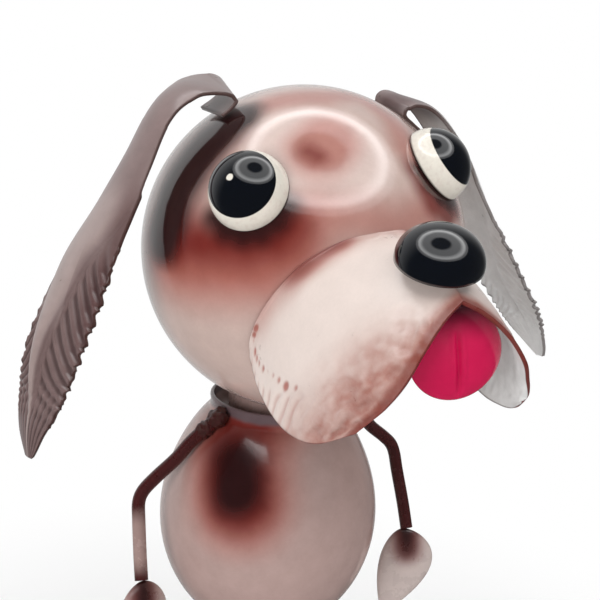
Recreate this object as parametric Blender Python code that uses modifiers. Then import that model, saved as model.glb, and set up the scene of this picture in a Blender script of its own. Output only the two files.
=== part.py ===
"""Painted sheet-steel dog figure: ball head, folded muzzle, hooked leaf ears, egg body, rod limbs.

Metres, +Z up.  The dog faces -Y and its left side is +X.  The origin is the centre of the
underside of the base plate.  Sizes below are in millimetres; MM turns them into metres.
"""
import bpy
import bmesh
import math
from mathutils import Matrix, Vector

MM = 0.001
GAP = 0.3              # clearance between pieces that touch and are welded
SHEET = 1.2            # sheet of the muzzle, ears and tongue
ROD_R = 2.4            # bent round bar of the limbs

# Base plate
BASE_R = 62.0
BASE_T = 2.5
BASE_EDGE = 0.6

# Body: egg with a short bottle neck
BODY_BOTTOM = 83.0     # height of the belly above the ground
BODY_R = 40.5
BODY_LOWER = 46.0      # widest point down to the belly
BODY_UPPER = 46.0      # widest point up to the neck lip
NECK_R = 23.8
NECK_H = 5.4           # straight part of the neck
NECK_WALL = 1.1
NECK_DEPTH = 7.0       # depth of the neck's opening
COLLAR_R = 17.5
BODY_LEAN = 0.8        # degrees that the belly swings to the dog's right, about the neck lip

# Head ball, leaning a little to the dog's right
HEAD_R = 55.0
HEAD_FORWARD = 16.0    # head centre in front of the body axis
HEAD_RISE = 58.0       # head centre above the neck lip
HEAD_LEAN = (1.2, -6.6, 1.3)

# One dome pressing serves for the eyes and the nose
DOME_R = 12.5
EYE_RISE = 11.9
EYE_SIDE = 45.3        # degrees round from the front
EYE_UP = 33.8          # degrees above the middle of the ball
NOSE_RISE = 9.6
NOSE_SKIRT = 1.0
NOSE_LEAN = 17.0

# Tongue: domed disc with a pressed crease, as shares of the head's radius
TONGUE_R = 0.2473 * HEAD_R
TONGUE_TOP = 0.2900 * HEAD_R    # reach of its top edge under the ridge
TONGUE_BULGE = 0.1 * HEAD_R
TONGUE_CREASE = 0.7
TONGUE_TURN = -12.0    # degrees round, towards the dog's right

# Ears: strips that widen into toothed leaves
EAR_W = 18.6
LEAF_W = 28.0
LEAF_TEETH = 11
TOOTH = 0.9
EAR_ARCH = 1.7         # crown across the strip
STRIP_END = 0.28       # share of the ear's length where the strip begins to widen
LEAF_FULL = 0.68       # share where the leaf is widest
LEAF_START = 0.52      # share where the teeth begin

# Arms, legs, paws and feet
LIMB = BODY_R / 40.5   # the bends of the limbs below are laid out on a 40.5 mm body
LEG_X = 17.0 * LIMB
PAW_LENGTH = 35.0
PAW_W = 20.5
PAW_D = 8.0
PAW_SWING = {"right": 0.05, "left": -0.25}   # how far each paw leans to the dog's left
PAW_BEND = {"right": 0.0, "left": 4.0}       # and how far its middle is pushed that way
FOOT_LENGTH = 46.0
FOOT_W = 25.0
FOOT_H = 10.0
FOOT_SWELL = 1.2
FOOT_BLUNT = 0.5
ANKLE = 0.26            # share of the foot behind the leg

BODY_MID = BODY_BOTTOM + BODY_LOWER
LIP_Z = BODY_MID + BODY_UPPER
HEAD_Z = LIP_Z + HEAD_RISE
FACE = HEAD_R / 55.0   # the face and ear points below are laid out on a 55 mm ball

for old in list(bpy.data.objects):
    bpy.data.objects.remove(old, do_unlink=True)

dog = bpy.data.collections.new("Scrap metal dog sculpture")
cutters = bpy.data.collections.new("Cutters")
bpy.context.scene.collection.children.link(dog)
bpy.context.scene.collection.children.link(cutters)


def material(name, colour, roughness, metallic=0.0):
    """Principled material with its main settings."""
    mat = bpy.data.materials.new(name)
    mat.use_nodes = True
    shader = mat.node_tree.nodes["Principled BSDF"]
    shader.inputs["Base Color"].default_value = (*colour, 1.0)
    shader.inputs["Roughness"].default_value = roughness
    shader.inputs["Metallic"].default_value = metallic
    mat.diffuse_color = (*colour, 1.0)
    return mat


HEAD_PAINT = material("head_enamel", (0.58, 0.36, 0.32), 0.22)
BODY_PAINT = material("body_enamel", (0.50, 0.40, 0.38), 0.22)
MUZZLE_PAINT = material("muzzle_enamel", (0.80, 0.70, 0.66), 0.30)
BLACK_PAINT = material("black_enamel", (0.006, 0.007, 0.010), 0.12)
TONGUE_PAINT = material("tongue_enamel", (0.58, 0.01, 0.08), 0.20)
EAR_PAINT = material("ear_enamel", (0.20, 0.15, 0.145), 0.35)
LIMB_PAINT = material("limb_enamel", (0.10, 0.030, 0.028), 0.30)
PAW_PAINT = material("paw_enamel", (0.40, 0.30, 0.28), 0.30)
BASE_PAINT = material("base_enamel", (0.09, 0.035, 0.03), 0.38)

# The head and all it carries hang on one empty, which sets the lean
head_turn = bpy.data.objects.new("head_turn", None)
head_turn.location = (0.0, -HEAD_FORWARD * MM, HEAD_Z * MM)
head_turn.rotation_euler = [math.radians(a) for a in HEAD_LEAN]
dog.objects.link(head_turn)


def add(name, data, mat, parent=None, collection=dog):
    """New object with its material, in its collection."""
    obj = bpy.data.objects.new(name, data)
    if mat is not None:
        data.materials.append(mat)
    obj.parent = parent
    collection.objects.link(obj)
    return obj


def from_bmesh(name, bm, mat, parent=None, collection=dog):
    """Object from a mesh drawn in millimetres."""
    bmesh.ops.scale(bm, vec=(MM, MM, MM), verts=bm.verts)
    mesh = bpy.data.meshes.new(name)
    bm.to_mesh(mesh)
    bm.free()
    mesh.shade_smooth()
    return add(name, mesh, mat, parent, collection)


def ball(name, radius, mat, parent=None, collection=dog, segments=40, rings=22):
    """Sphere about its own origin."""
    bm = bmesh.new()
    bmesh.ops.create_uvsphere(bm, u_segments=segments, v_segments=rings, radius=radius)
    return from_bmesh(name, bm, mat, parent, collection)


def turned(name, profile, steps, mat, parent=None):
    """Profile from the top of the axis, down the outer side, back to the axis, with a Screw."""
    bm = bmesh.new()
    verts = [bm.verts.new((r, 0.0, z)) for r, z in profile]
    for pair in zip(verts, verts[1:]):
        bm.edges.new(pair)
    obj = from_bmesh(name, bm, mat, parent)
    screw = obj.modifiers.new("Turn", 'SCREW')
    screw.axis = 'Z'
    screw.steps = steps
    screw.render_steps = steps
    screw.use_merge_vertices = True
    screw.merge_threshold = 0.00001
    screw.use_smooth_shade = True
    return obj


def pressed(name, surface, along, across, thickness, mat, parent=None, flip=False, closed=False):
    """Sheet: a grid shaped by surface(u, v), made solid towards its inner side."""
    bm = bmesh.new()
    bmesh.ops.create_grid(bm, x_segments=along, y_segments=across, size=1.0)
    for v in bm.verts:
        v.co = surface(0.5 * (v.co.x + 1), 0.5 * (v.co.y + 1))
    if closed:
        bmesh.ops.remove_doubles(bm, verts=bm.verts, dist=0.001)
    if flip:
        bmesh.ops.reverse_faces(bm, faces=bm.faces)
    obj = from_bmesh(name, bm, mat, parent)
    wall = obj.modifiers.new("Sheet", 'SOLIDIFY')
    wall.thickness = thickness * MM
    wall.offset = -1.0
    wall.use_rim = True
    return obj


def smooth(points, share):
    """Point at a share of the way along a smooth curve through the control points."""
    pts = [Vector(p) for p in points]
    ext = [2 * pts[0] - pts[1]] + pts + [2 * pts[-1] - pts[-2]]
    spans = [(b - a).length for a, b in zip(pts, pts[1:])]
    want = share * sum(spans)
    i = 0
    while i < len(spans) - 1 and want > spans[i]:
        want -= spans[i]
        i += 1
    t = min(1.0, want / spans[i])
    p0, p1, p2, p3 = ext[i:i + 4]
    return 0.5 * (2 * p1 + (p2 - p0) * t + (2 * p0 - 5 * p1 + 4 * p2 - p3) * t * t
                  + (3 * p1 - p0 - 3 * p2 + p3) * t ** 3)


def bar(name, points, count, mat):
    """Bent round bar: a poly curve with a bevel and filled caps."""
    curve = bpy.data.curves.new(name, 'CURVE')
    curve.dimensions = '3D'
    curve.bevel_depth = ROD_R * MM
    curve.bevel_resolution = 2
    curve.use_fill_caps = True
    spline = curve.splines.new('POLY')
    spline.points.add(count - 1)
    for i in range(count):
        spline.points[i].co = (*(smooth(points, i / (count - 1)) * MM), 1.0)
    spline.use_smooth = True
    return add(name, curve, mat)


def drop(name, tip, toe, width, depth, face, mat, swell, blunt, back=1.0, bend=(0.0, 0.0, 0.0)):
    """Pressed paw shaped from a sphere.

    swell below 1 puts the widest place near the limb, a small blunt rounds both ends, back is the
    depth of the back as a share of the front's, and bend pushes the middle sideways.
    """
    tip, toe, face = Vector(tip), Vector(toe), Vector(face)
    run = toe - tip
    length = run.length
    run.normalize()
    face = (face - run * face.dot(run)).normalized()
    across = run.cross(face)
    bm = bmesh.new()
    bmesh.ops.create_uvsphere(bm, u_segments=12, v_segments=11, radius=1.0)
    for v in bm.verts:
        s = 0.5 - 0.5 * v.co.z
        ring = math.hypot(v.co.x, v.co.y)
        full = math.sin(math.pi * min(1.0, max(0.0, s)) ** swell) ** blunt if ring > 1e-6 else 0.0
        side = v.co.x / ring if ring > 1e-6 else 0.0
        lift = v.co.y / ring if ring > 1e-6 else 0.0
        if lift < 0:
            lift *= back
        bow = Vector(bend) * math.sin(math.pi * min(1.0, max(0.0, s)) ** 0.6)
        v.co = tip + run * length * s + bow + across * 0.5 * width * full * side + face * depth * full * lift
    return from_bmesh(name, bm, mat)


# Head ball
ball("head", HEAD_R, HEAD_PAINT, head_turn)

# Eyes: domes set square on the ball, their seats hollowed to fit it
SEAT = HEAD_R + GAP
SEAT_FLOOR = math.sqrt(SEAT ** 2 - DOME_R ** 2)


def dome(radius, rise, skirt=0.0):
    """Profile of a pressed dome from its crown to its rim."""
    steps = 6
    arc = [(radius * math.sin(0.5 * math.pi * i / steps), skirt + rise * math.cos(0.5 * math.pi * i / steps))
           for i in range(steps + 1)]
    return arc + [(radius, 0.0)] if skirt > 0 else arc


for side, name in ((-1, "eye_right"), (1, "eye_left")):
    az = math.radians(EYE_SIDE)
    up = math.radians(EYE_UP)
    look = Vector((side * math.sin(az) * math.cos(up), -math.cos(az) * math.cos(up), math.sin(up)))
    hollow = [(DOME_R * f, math.sqrt(SEAT ** 2 - (DOME_R * f) ** 2) - SEAT_FLOOR) for f in (0.66, 0.33, 0.0)]
    eye = turned(name, dome(DOME_R, EYE_RISE) + hollow, 24, BLACK_PAINT, head_turn)
    eye.location = look * SEAT_FLOOR * MM
    eye.rotation_euler = look.to_track_quat('Z', 'Y').to_euler()

# Muzzle: round sheet folded over a ridge, its rear edge fitted to the ball.  Each flap has its
# rear, front and lower edge; the left one is written as if it were on the right.
RIDGE = [(0, -53.5, 17.8), (0, -65, 18.6), (0, -76, 18.2), (0, -86, 15.8), (0, -93.5, 12.4), (0, -97.6, 9.5)]
RIGHT_FLAP = (
    [(0, -52, 17.6), (10.5, -51.3, 16.7), (21, -49.2, 12.4), (28.2, -46.8, 6.2),
     (34.3, -42.8, -3.2), (36.8, -39, -12.5), (37.4, -38.5, -19.2)],
    [(0, -97.6, 9.5), (6.7, -99, 5.3), (13.6, -100.4, -1.5), (19.4, -100, -9.9),
     (23.5, -96.1, -17.6), (28.2, -89, -26.0)],
    [(37.4, -38.5, -19.2), (38.6, -47, -26.2), (38.8, -58.5, -31.2), (37.8, -69.5, -32.8),
     (34.6, -79, -31.6), (28.2, -89, -26.0)])
LEFT_FLAP = (
    [(0, -52, 17.6), (10.5, -51.3, 16.6), (21, -49.2, 12.1), (28.2, -46.8, 5.5),
     (34.3, -42.8, -4.5), (36.8, -39, -14.4), (37.4, -38.5, -21.8)],
    [(0, -97.6, 9.5), (6.7, -99, 5.2), (13.6, -100.4, -1.8), (19.4, -100, -10.7),
     (23.8, -95.7, -18.6), (26.4, -92.6, -23.2), (27.9, -90.1, -26.6), (28.1, -87.9, -29.3)],
    [(37.4, -38.5, -21.8), (34.5, -47, -29.6), (31.2, -58.5, -34.6), (29.2, -68, -35.4),
     (28.5, -77.5, -34.6), (28.2, -82.5, -33.4), (28.1, -85.3, -31.9), (28.1, -87.9, -29.3)])
FLAP_BULGE = 3.0


def muzzle_surface(u, v):
    """Outer face: u runs from the ball to the front edge, v from the right flap's hem to the left's."""
    side = 1 if v >= 0.5 else -1
    w = abs(2 * v - 1)
    rear_edge, front_edge, hem = RIGHT_FLAP if side < 0 else LEFT_FLAP
    ridge, lower, rear, front = (smooth(line, at) for line, at in
                                 ((RIDGE, u), (hem, u), (rear_edge, w), (front_edge, w)))
    ruled = rear * (1 - u) + front * u + ridge * (1 - w) + lower * w
    corners = ((Vector(RIDGE[0]) * (1 - u) + Vector(RIDGE[-1]) * u) * (1 - w)
               + (Vector(hem[0]) * (1 - u) + Vector(hem[-1]) * u) * w)
    swell = FLAP_BULGE * math.sin(math.pi * u) * math.sin(math.pi * w)
    p = (ruled - corners + Vector((0.75, 0.0, 0.45)) * swell) * FACE
    clear = HEAD_R + GAP + 0.1 + SHEET * min(1.0, 1.3 * abs(p.x) / HEAD_R)
    if p.length < clear:
        p = p.normalized() * clear
    p.x *= side
    return p


pressed("muzzle", muzzle_surface, 12, 18, SHEET, MUZZLE_PAINT, head_turn)

# Nose: dome on the front of the ridge
nose = turned("nose", dome(DOME_R, NOSE_RISE, NOSE_SKIRT) + [(0.0, 0.0)], 24, BLACK_PAINT, head_turn)
nose.location = Vector((0.0, -85.8, 16.9)) * FACE * MM
nose.rotation_euler = (math.radians(NOSE_LEAN), 0.0, 0.0)

# Tongue: inside the arch of the muzzle, its top edge under the ridge
TONGUE_AT = Vector((2.5, -89.4, -8.3)) * FACE


def tongue_surface(u, v):
    """Front face: u runs from the centre to the edge, v once round."""
    a = math.tau * v
    reach = TONGUE_R + (TONGUE_TOP - TONGUE_R) * max(0.0, math.sin(a)) ** 5
    x = reach * u * math.cos(a)
    z = reach * u * math.sin(a)
    rise = TONGUE_BULGE * math.sqrt(max(0.0, 1 - 0.93 * u * u)) - TONGUE_CREASE * math.exp(-(x / 1.6) ** 2)
    return TONGUE_AT + Matrix.Rotation(math.radians(TONGUE_TURN), 3, 'Z') @ Vector((x, -rise, z))


pressed("tongue", tongue_surface, 5, 24, SHEET, TONGUE_PAINT, head_turn, closed=True)

# Ears: one strip each, hooked over at the root.  Each entry is a point of the centre line and the
# direction across the strip.  They are bent by hand, so the two differ.
EAR_RIGHT = [((-28.6, 4.2, 48.4), (0.16, 1, 0.1)), ((-25.0, 4.2, 50.6), (0.16, 1, 0.1)),
             ((-22.3, 4.2, 53.2), (0.16, 1, 0.1)), ((-22.6, 4.0, 56.0), (0.18, 1, 0.15)),
             ((-25.6, 3.8, 57.8), (0.2, 1, 0.2)), ((-32.4, 3.5, 58.0), (0.2, 1, 0.2)),
             ((-38.6, 3.0, 56.0), (0.12, 1, 0.2)), ((-45.8, 3.0, 49.8), (0, 1, 0.06)),
             ((-54.5, 2.5, 36.2), (-0.1, 1, 0.04)), ((-64.2, 1.5, 22.4), (-0.2, 1, 0)),
             ((-73.5, 1.0, 8.5), (-0.26, 1, 0)), ((-81.8, 0.0, -5.6), (-0.34, 1, 0)),
             ((-89.1, -1.0, -19.1), (-0.36, 1, 0)), ((-95.5, -2.6, -33.7), (-0.34, 1, 0)),
             ((-99.0, -3.0, -43.5), (-0.34, 1, 0)), ((-100.6, -3.0, -52.6), (-0.34, 1, 0))]
EAR_LEFT = [((43.4, 4.0, 36.8), (-0.04, 1, 0.2)), ((39.8, 4.0, 40.2), (-0.04, 1, 0.22)),
            ((36.9, 4.0, 43.4), (-0.04, 1, 0.25)), ((37.6, 4.1, 46.2), (-0.04, 1, 0.22)),
            ((41.0, 4.1, 46.9), (-0.06, 1, 0.18)), ((46.0, 3.7, 44.6), (-0.1, 1, 0.12)),
            ((50.6, 3.3, 40.2), (-0.12, 1, 0.1)), ((55.6, 2.9, 33.2), (-0.15, 1, 0.1)),
            ((60.8, 2.8, 24.6), (-0.15, 1, 0.1)), ((68.6, 2.3, 5.8), (-0.15, 1, 0.1)),
            ((76.6, 1.6, -12.2), (-0.15, 1, 0.1)), ((82.6, 0.9, -24.4), (-0.15, 1, 0.1)),
            ((88.6, 0.4, -35.0), (-0.15, 1, 0.1)), ((93.6, -0.4, -44.6), (-0.15, 1, 0.1)),
            ((97.4, -1.4, -52.0), (-0.15, 1, 0.1)), ((100.4, -2.0, -58.2), (-0.15, 1, 0.1))]


def ear_half_width(s):
    """Half width of the ear, without teeth, at a share s of its length."""
    t = min(1.0, max(0.0, (s - STRIP_END) / (LEAF_FULL - STRIP_END)))
    full = EAR_W + (LEAF_W - EAR_W) * t * t * (3 - 2 * t)
    if s > 0.75:
        full *= math.cos(0.5 * math.pi * (s - 0.75) / 0.265) ** 0.8
    return 0.5 * full


def tooth(s, start):
    """Scalloped edge of the leaf: a slow rise and a quick return."""
    t = (s - start) / (1 - start)
    if t < 0 or s > 0.985:
        return 0.0
    part = (t * LEAF_TEETH) % 1.0
    wave = (math.sin(0.5 * math.pi * part / 0.75) if part < 0.75
            else math.cos(0.5 * math.pi * (part - 0.75) / 0.25))
    return TOOTH * min(1.0, t / 0.15) * (wave - 0.5)


def ear_surface(bend, side):
    """Outer face of one ear: u runs from the root to the tip, v from the front edge to the rear."""
    centres = [c for c, _ in bend]

    def surface(u, v):
        p = smooth(centres, u)
        ahead = smooth(centres, min(1.0, u + 0.01)) - smooth(centres, max(0.0, u - 0.01))
        nearest = min(range(len(bend) - 1), key=lambda i: (Vector(centres[i]) - p).length
                      + (Vector(centres[i + 1]) - p).length)
        a, b = Vector(centres[nearest]), Vector(centres[nearest + 1])
        t = min(1.0, max(0.0, (p - a).dot(b - a) / (b - a).length_squared))
        wide = Vector(bend[nearest][1]).lerp(Vector(bend[nearest + 1][1]), t)
        ahead.normalize()
        wide = (wide - ahead * wide.dot(ahead)).normalized()
        out = wide.cross(ahead).normalized() * -side
        half = ear_half_width(u)
        q = 2 * v - 1
        edge = half + (tooth(u, LEAF_START if v < 0.5 else LEAF_START + 0.08) if abs(q) > 0.99 else 0.0)
        crown = EAR_ARCH * (1 - q * q) * min(1.0, half / 9.0) * min(1.0, max(0.0, 9.0 * u - 0.9))
        return p * FACE + wide * q * edge + out * crown
    return surface


pressed("ear_right", ear_surface(EAR_RIGHT, -1), 51, 4, SHEET, EAR_PAINT, head_turn, flip=True)
pressed("ear_left", ear_surface(EAR_LEFT, 1), 51, 4, SHEET, EAR_PAINT, head_turn)


# Body: egg with a short neck whose lip stands round the collar
def body_radius(down):
    """Radius of the body at a distance below the lip, from the neck to the widest point."""
    t = min(1.0, max(0.0, (down - NECK_H) / (BODY_UPPER - NECK_H)))
    return NECK_R + (BODY_R - NECK_R) * math.sin(0.5 * math.pi * t) ** 0.75


lip = [(0.0, -NECK_DEPTH), (NECK_R - NECK_WALL, -NECK_DEPTH), (NECK_R - NECK_WALL, -0.3), (NECK_R - 0.5, 0.0),
       (NECK_R + 0.3, -0.5), (NECK_R + 0.2, -1.8), (NECK_R, -3.2)]
shoulder = [(body_radius(d), -d) for d in
            [NECK_H + (BODY_UPPER - NECK_H) * k for k in (0.02, 0.08, 0.18, 0.32, 0.5, 0.73)]]
belly = [(BODY_R * math.cos(math.pi * i / 16), -BODY_UPPER - BODY_LOWER * math.sin(math.pi * i / 16))
         for i in range(8)]
body = turned("body", lip + shoulder + belly + [(0.0, -BODY_UPPER - BODY_LOWER)], 40, BODY_PAINT)
body.location = (0.0, 0.0, LIP_Z * MM)
body.rotation_euler = (0.0, math.radians(BODY_LEAN), 0.0)

# Neck collar: short ring standing in the neck, its top cut to fit the ball
ball_cutter = ball("ball_cutter", HEAD_R + GAP + 0.1, None, head_turn, cutters)
ball_cutter.hide_render = True
ball_cutter.display_type = 'WIRE'
collar_top = HEAD_RISE - math.sqrt(HEAD_R ** 2 - (HEAD_FORWARD + COLLAR_R) ** 2) + 2.0
bm = bmesh.new()
bmesh.ops.create_cone(bm, cap_ends=True, segments=32, radius1=COLLAR_R, radius2=COLLAR_R,
                      depth=collar_top + NECK_DEPTH - GAP)
collar = from_bmesh("neck_collar", bm, LIMB_PAINT)
collar.location = (0.0, 0.0, (LIP_Z + 0.5 * (collar_top - NECK_DEPTH + GAP)) * MM)
fit = collar.modifiers.new("Fit to ball", 'BOOLEAN')
fit.operation = 'DIFFERENCE'
fit.solver = 'EXACT'
fit.object = ball_cutter

# Arms: bent bar from the neck over the shoulder to the elbow and down to the paw.
# Each entry is how far out from the widest body, how far forward and how far below the lip.
REACH = [(-1.7, 3.2, 20.0), (5.1, 1.6, 27.0), (9.3, 0.7, 32.0), (11.0, 1.2, 36.0), (11.5, 3.4, 41.5),
         (12.3, 8.6, 52.0), (12.7, 12.6, 60.5)]
LEFT_RAISE = (2.0, 2.5, 3.0, 4.5, 6.0, 7.0, 7.0, 6.5, 5.5, 4.6)
SHOULDER = [(19.0, 3.5, 1.15), (14.0, 8.0, 1.55), (8.5, 13.5, 1.5)]    # degrees forward, below lip, clearance
for side, tag in ((-1, "right"), (1, "left")):
    path = []
    for turn, down, room in SHOULDER:
        r = body_radius(down) + (ROD_R + GAP) * room
        a = math.radians(turn)
        path.append(Vector((side * r * math.cos(a), -r * math.sin(a), LIP_Z - down)))
    path += [Vector((side * (BODY_R + x * LIMB), -y * LIMB, LIP_Z - down)) for x, y, down in REACH]
    if side > 0:
        for p, up in zip(path, LEFT_RAISE):
            p.z += up
        path[0].z = LIP_Z - SHOULDER[0][1]
    bar("arm_" + tag, path, 18, LIMB_PAINT)
    wrist = path[-1]
    down = Vector((PAW_SWING[tag], -0.06, -0.99)).normalized()
    start = wrist + down * (GAP + 0.1)
    drop("paw_" + tag, start, start + down * PAW_LENGTH, PAW_W, 0.5 * PAW_D, (-side * 0.35, -0.93, 0.05),
         PAW_PAINT, 0.72, 0.8, bend=(PAW_BEND[tag], 0.0, 0.0))

# Legs and feet: kept plain, below the edge of the picture
foot_floor = BASE_T + GAP + 0.12 * FOOT_H
ankle_rise = FOOT_H * math.sin(math.pi * (ANKLE + ROD_R / FOOT_LENGTH) ** FOOT_SWELL) ** FOOT_BLUNT
ankle_z = foot_floor + ankle_rise + GAP + 0.1
for side, tag in ((-1, "right"), (1, "left")):
    slope = math.sqrt(1 - (LEG_X / BODY_R) ** 2)
    hip = Vector((side * LEG_X, 0.0, -BODY_UPPER - BODY_LOWER * slope))
    out = Vector((hip.x / BODY_R ** 2, 0.0, (hip.z + BODY_UPPER) / BODY_LOWER ** 2)).normalized()
    swing = Matrix.Rotation(math.radians(BODY_LEAN), 3, 'Y')
    hip = swing @ hip + Vector((0.0, 0.0, LIP_Z))
    out = swing @ out
    fall = hip.z - ankle_z
    knee = [Vector((side * (LEG_X + x * LIMB), -y * LIMB, ankle_z + fall * share)) for x, y, share in
            ((7.0, 2.5, 0.62), (8.0, 4.5, 0.43), (8.5, 2.0, 0.2))]
    bar("leg_" + tag, [hip + out * (GAP + 0.1), hip + out * 7.0] + knee
        + [Vector((side * (LEG_X + 9.0 * LIMB), 0.0, ankle_z))], 14, LIMB_PAINT)
    heel = Vector((side * (LEG_X + 7.5 * LIMB), ANKLE * FOOT_LENGTH, foot_floor))
    toe = heel + Vector((side * 6.0, -FOOT_LENGTH, 0.0))
    drop("foot_" + tag, heel, toe, FOOT_W, FOOT_H, (0, 0, 1), PAW_PAINT, FOOT_SWELL,
         FOOT_BLUNT, back=0.12)

# Base: plain round plate with an eased edge
bm = bmesh.new()
bmesh.ops.create_cone(bm, cap_ends=True, segments=48, radius1=BASE_R, radius2=BASE_R, depth=BASE_T)
base = from_bmesh("base", bm, BASE_PAINT)
base.location = (0.0, 0.0, 0.5 * BASE_T * MM)
edge = base.modifiers.new("Eased edge", 'BEVEL')
edge.width = BASE_EDGE * MM
edge.segments = 2
edge.limit_method = 'ANGLE'
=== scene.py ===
"""Painted sheet-steel dog figure, dressed with its enamels and pressed relief, on a plain stage."""

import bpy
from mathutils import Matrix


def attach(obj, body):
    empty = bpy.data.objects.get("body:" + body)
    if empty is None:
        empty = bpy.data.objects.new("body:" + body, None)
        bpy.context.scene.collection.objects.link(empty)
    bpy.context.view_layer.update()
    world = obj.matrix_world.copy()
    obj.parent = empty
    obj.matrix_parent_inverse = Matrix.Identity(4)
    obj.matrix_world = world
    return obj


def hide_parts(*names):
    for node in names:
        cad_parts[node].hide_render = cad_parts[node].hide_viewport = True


bl_info = {
    "name": "Scrap metal dog sculpture",
    "version": (1, 0, 0),
    "blender": (4, 5, 0),
    "location": "3D View > Sidebar > Metal dog",
    "description": "Builds a welded and enamelled sheet-steel dog piece by piece",
    "category": "Object",
}

import math

import bmesh
import bpy
from bpy.props import FloatProperty, FloatVectorProperty, IntProperty, PointerProperty
from mathutils import Euler, Matrix, Vector, noise

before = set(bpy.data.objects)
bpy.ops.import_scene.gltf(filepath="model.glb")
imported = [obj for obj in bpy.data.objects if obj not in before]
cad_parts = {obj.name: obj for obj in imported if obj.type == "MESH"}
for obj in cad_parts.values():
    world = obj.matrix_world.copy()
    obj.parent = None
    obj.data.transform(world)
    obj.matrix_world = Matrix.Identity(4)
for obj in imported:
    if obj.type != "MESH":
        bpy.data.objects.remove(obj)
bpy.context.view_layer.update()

MM = 0.001
GAP = 0.3

# Edges of the muzzle sheet on a ball of 55 mm, in millimetres: the ridge, then each flap's rear,
# front and lower edge, the left one written as if it were on the right
RIDGE = [(0, -53.5, 17.8), (0, -65, 18.6), (0, -76, 18.2), (0, -86, 15.8), (0, -93.5, 12.4), (0, -97.6, 9.5)]
RIGHT_FLAP = (
    [(0, -52, 17.6), (10.5, -51.3, 16.7), (21, -49.2, 12.4), (28.2, -46.8, 6.2),
     (34.3, -42.8, -3.2), (36.8, -39, -12.5), (37.4, -38.5, -19.2)],
    [(0, -97.6, 9.5), (6.7, -99, 5.3), (13.6, -100.4, -1.5), (19.4, -100, -9.9),
     (23.5, -96.1, -17.6), (28.2, -89, -26.0)],
    [(37.4, -38.5, -19.2), (38.6, -47, -26.2), (38.8, -58.5, -31.2), (37.8, -69.5, -32.8),
     (34.6, -79, -31.6), (28.2, -89, -26.0)])
LEFT_FLAP = (
    [(0, -52, 17.6), (10.5, -51.3, 16.6), (21, -49.2, 12.1), (28.2, -46.8, 5.5),
     (34.3, -42.8, -4.5), (36.8, -39, -14.4), (37.4, -38.5, -21.8)],
    [(0, -97.6, 9.5), (6.7, -99, 5.2), (13.6, -100.4, -1.8), (19.4, -100, -10.7),
     (23.8, -95.7, -18.6), (26.4, -92.6, -23.2), (27.9, -90.1, -26.6), (28.1, -87.9, -29.3)],
    [(37.4, -38.5, -21.8), (34.5, -47, -29.6), (31.2, -58.5, -34.6), (29.2, -68, -35.4),
     (28.5, -77.5, -34.6), (28.2, -82.5, -33.4), (28.1, -85.3, -31.9), (28.1, -87.9, -29.3)])

# Bends of the two ears: a point of the centre line, and the direction across the strip
EAR_RIGHT = [((-28.6, 4.2, 48.4), (0.16, 1, 0.1)), ((-25.0, 4.2, 50.6), (0.16, 1, 0.1)),
             ((-22.3, 4.2, 53.2), (0.16, 1, 0.1)), ((-22.6, 4.0, 56.0), (0.18, 1, 0.15)),
             ((-25.6, 3.8, 57.8), (0.2, 1, 0.2)), ((-32.4, 3.5, 58.0), (0.2, 1, 0.2)),
             ((-38.6, 3.0, 56.0), (0.12, 1, 0.2)), ((-45.8, 3.0, 49.8), (0, 1, 0.06)),
             ((-54.5, 2.5, 36.2), (-0.1, 1, 0.04)), ((-64.2, 1.5, 22.4), (-0.2, 1, 0)),
             ((-73.5, 1.0, 8.5), (-0.26, 1, 0)), ((-81.8, 0.0, -5.6), (-0.34, 1, 0)),
             ((-89.1, -1.0, -19.1), (-0.36, 1, 0)), ((-95.5, -2.6, -33.7), (-0.34, 1, 0)),
             ((-99.0, -3.0, -43.5), (-0.34, 1, 0)), ((-100.6, -3.0, -52.6), (-0.34, 1, 0))]
EAR_LEFT = [((43.4, 4.0, 36.8), (-0.04, 1, 0.2)), ((39.8, 4.0, 40.2), (-0.04, 1, 0.22)),
            ((36.9, 4.0, 43.4), (-0.04, 1, 0.25)), ((37.6, 4.1, 46.2), (-0.04, 1, 0.22)),
            ((41.0, 4.1, 46.9), (-0.06, 1, 0.18)), ((46.0, 3.7, 44.6), (-0.1, 1, 0.12)),
            ((50.6, 3.3, 40.2), (-0.12, 1, 0.1)), ((55.6, 2.9, 33.2), (-0.15, 1, 0.1)),
            ((60.8, 2.8, 24.6), (-0.15, 1, 0.1)), ((68.6, 2.3, 5.8), (-0.15, 1, 0.1)),
            ((76.6, 1.6, -12.2), (-0.15, 1, 0.1)), ((82.6, 0.9, -24.4), (-0.15, 1, 0.1)),
            ((88.6, 0.4, -35.0), (-0.15, 1, 0.1)), ((93.6, -0.4, -44.6), (-0.15, 1, 0.1)),
            ((97.4, -1.4, -52.0), (-0.15, 1, 0.1)), ((100.4, -2.0, -58.2), (-0.15, 1, 0.1))]

# Arm bends: out from the widest body, forward and below the lip; and the start over the shoulder
REACH = [(-1.7, 3.2, 20.0), (5.1, 1.6, 27.0), (9.3, 0.7, 32.0), (11.0, 1.2, 36.0), (11.5, 3.4, 41.5),
         (12.3, 8.6, 52.0), (12.7, 12.6, 60.5)]
LEFT_RAISE = (2.0, 2.5, 3.0, 4.5, 6.0, 7.0, 7.0, 6.5, 5.5, 4.6)
SHOULDER = [(19.0, 3.5, 1.15), (14.0, 8.0, 1.55), (8.5, 13.5, 1.5)]
PAW_SWING = {"right": 0.05, "left": -0.25}
PAW_BEND = {"right": 0.0, "left": 4.0}


def linear(code):
    """Linear colour of an sRGB hex code."""
    channels = [int(code[i:i + 2], 16) / 255 for i in (0, 2, 4)]
    return [c / 12.92 if c <= 0.04045 else ((c + 0.055) / 1.055) ** 2.4 for c in channels]


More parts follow.
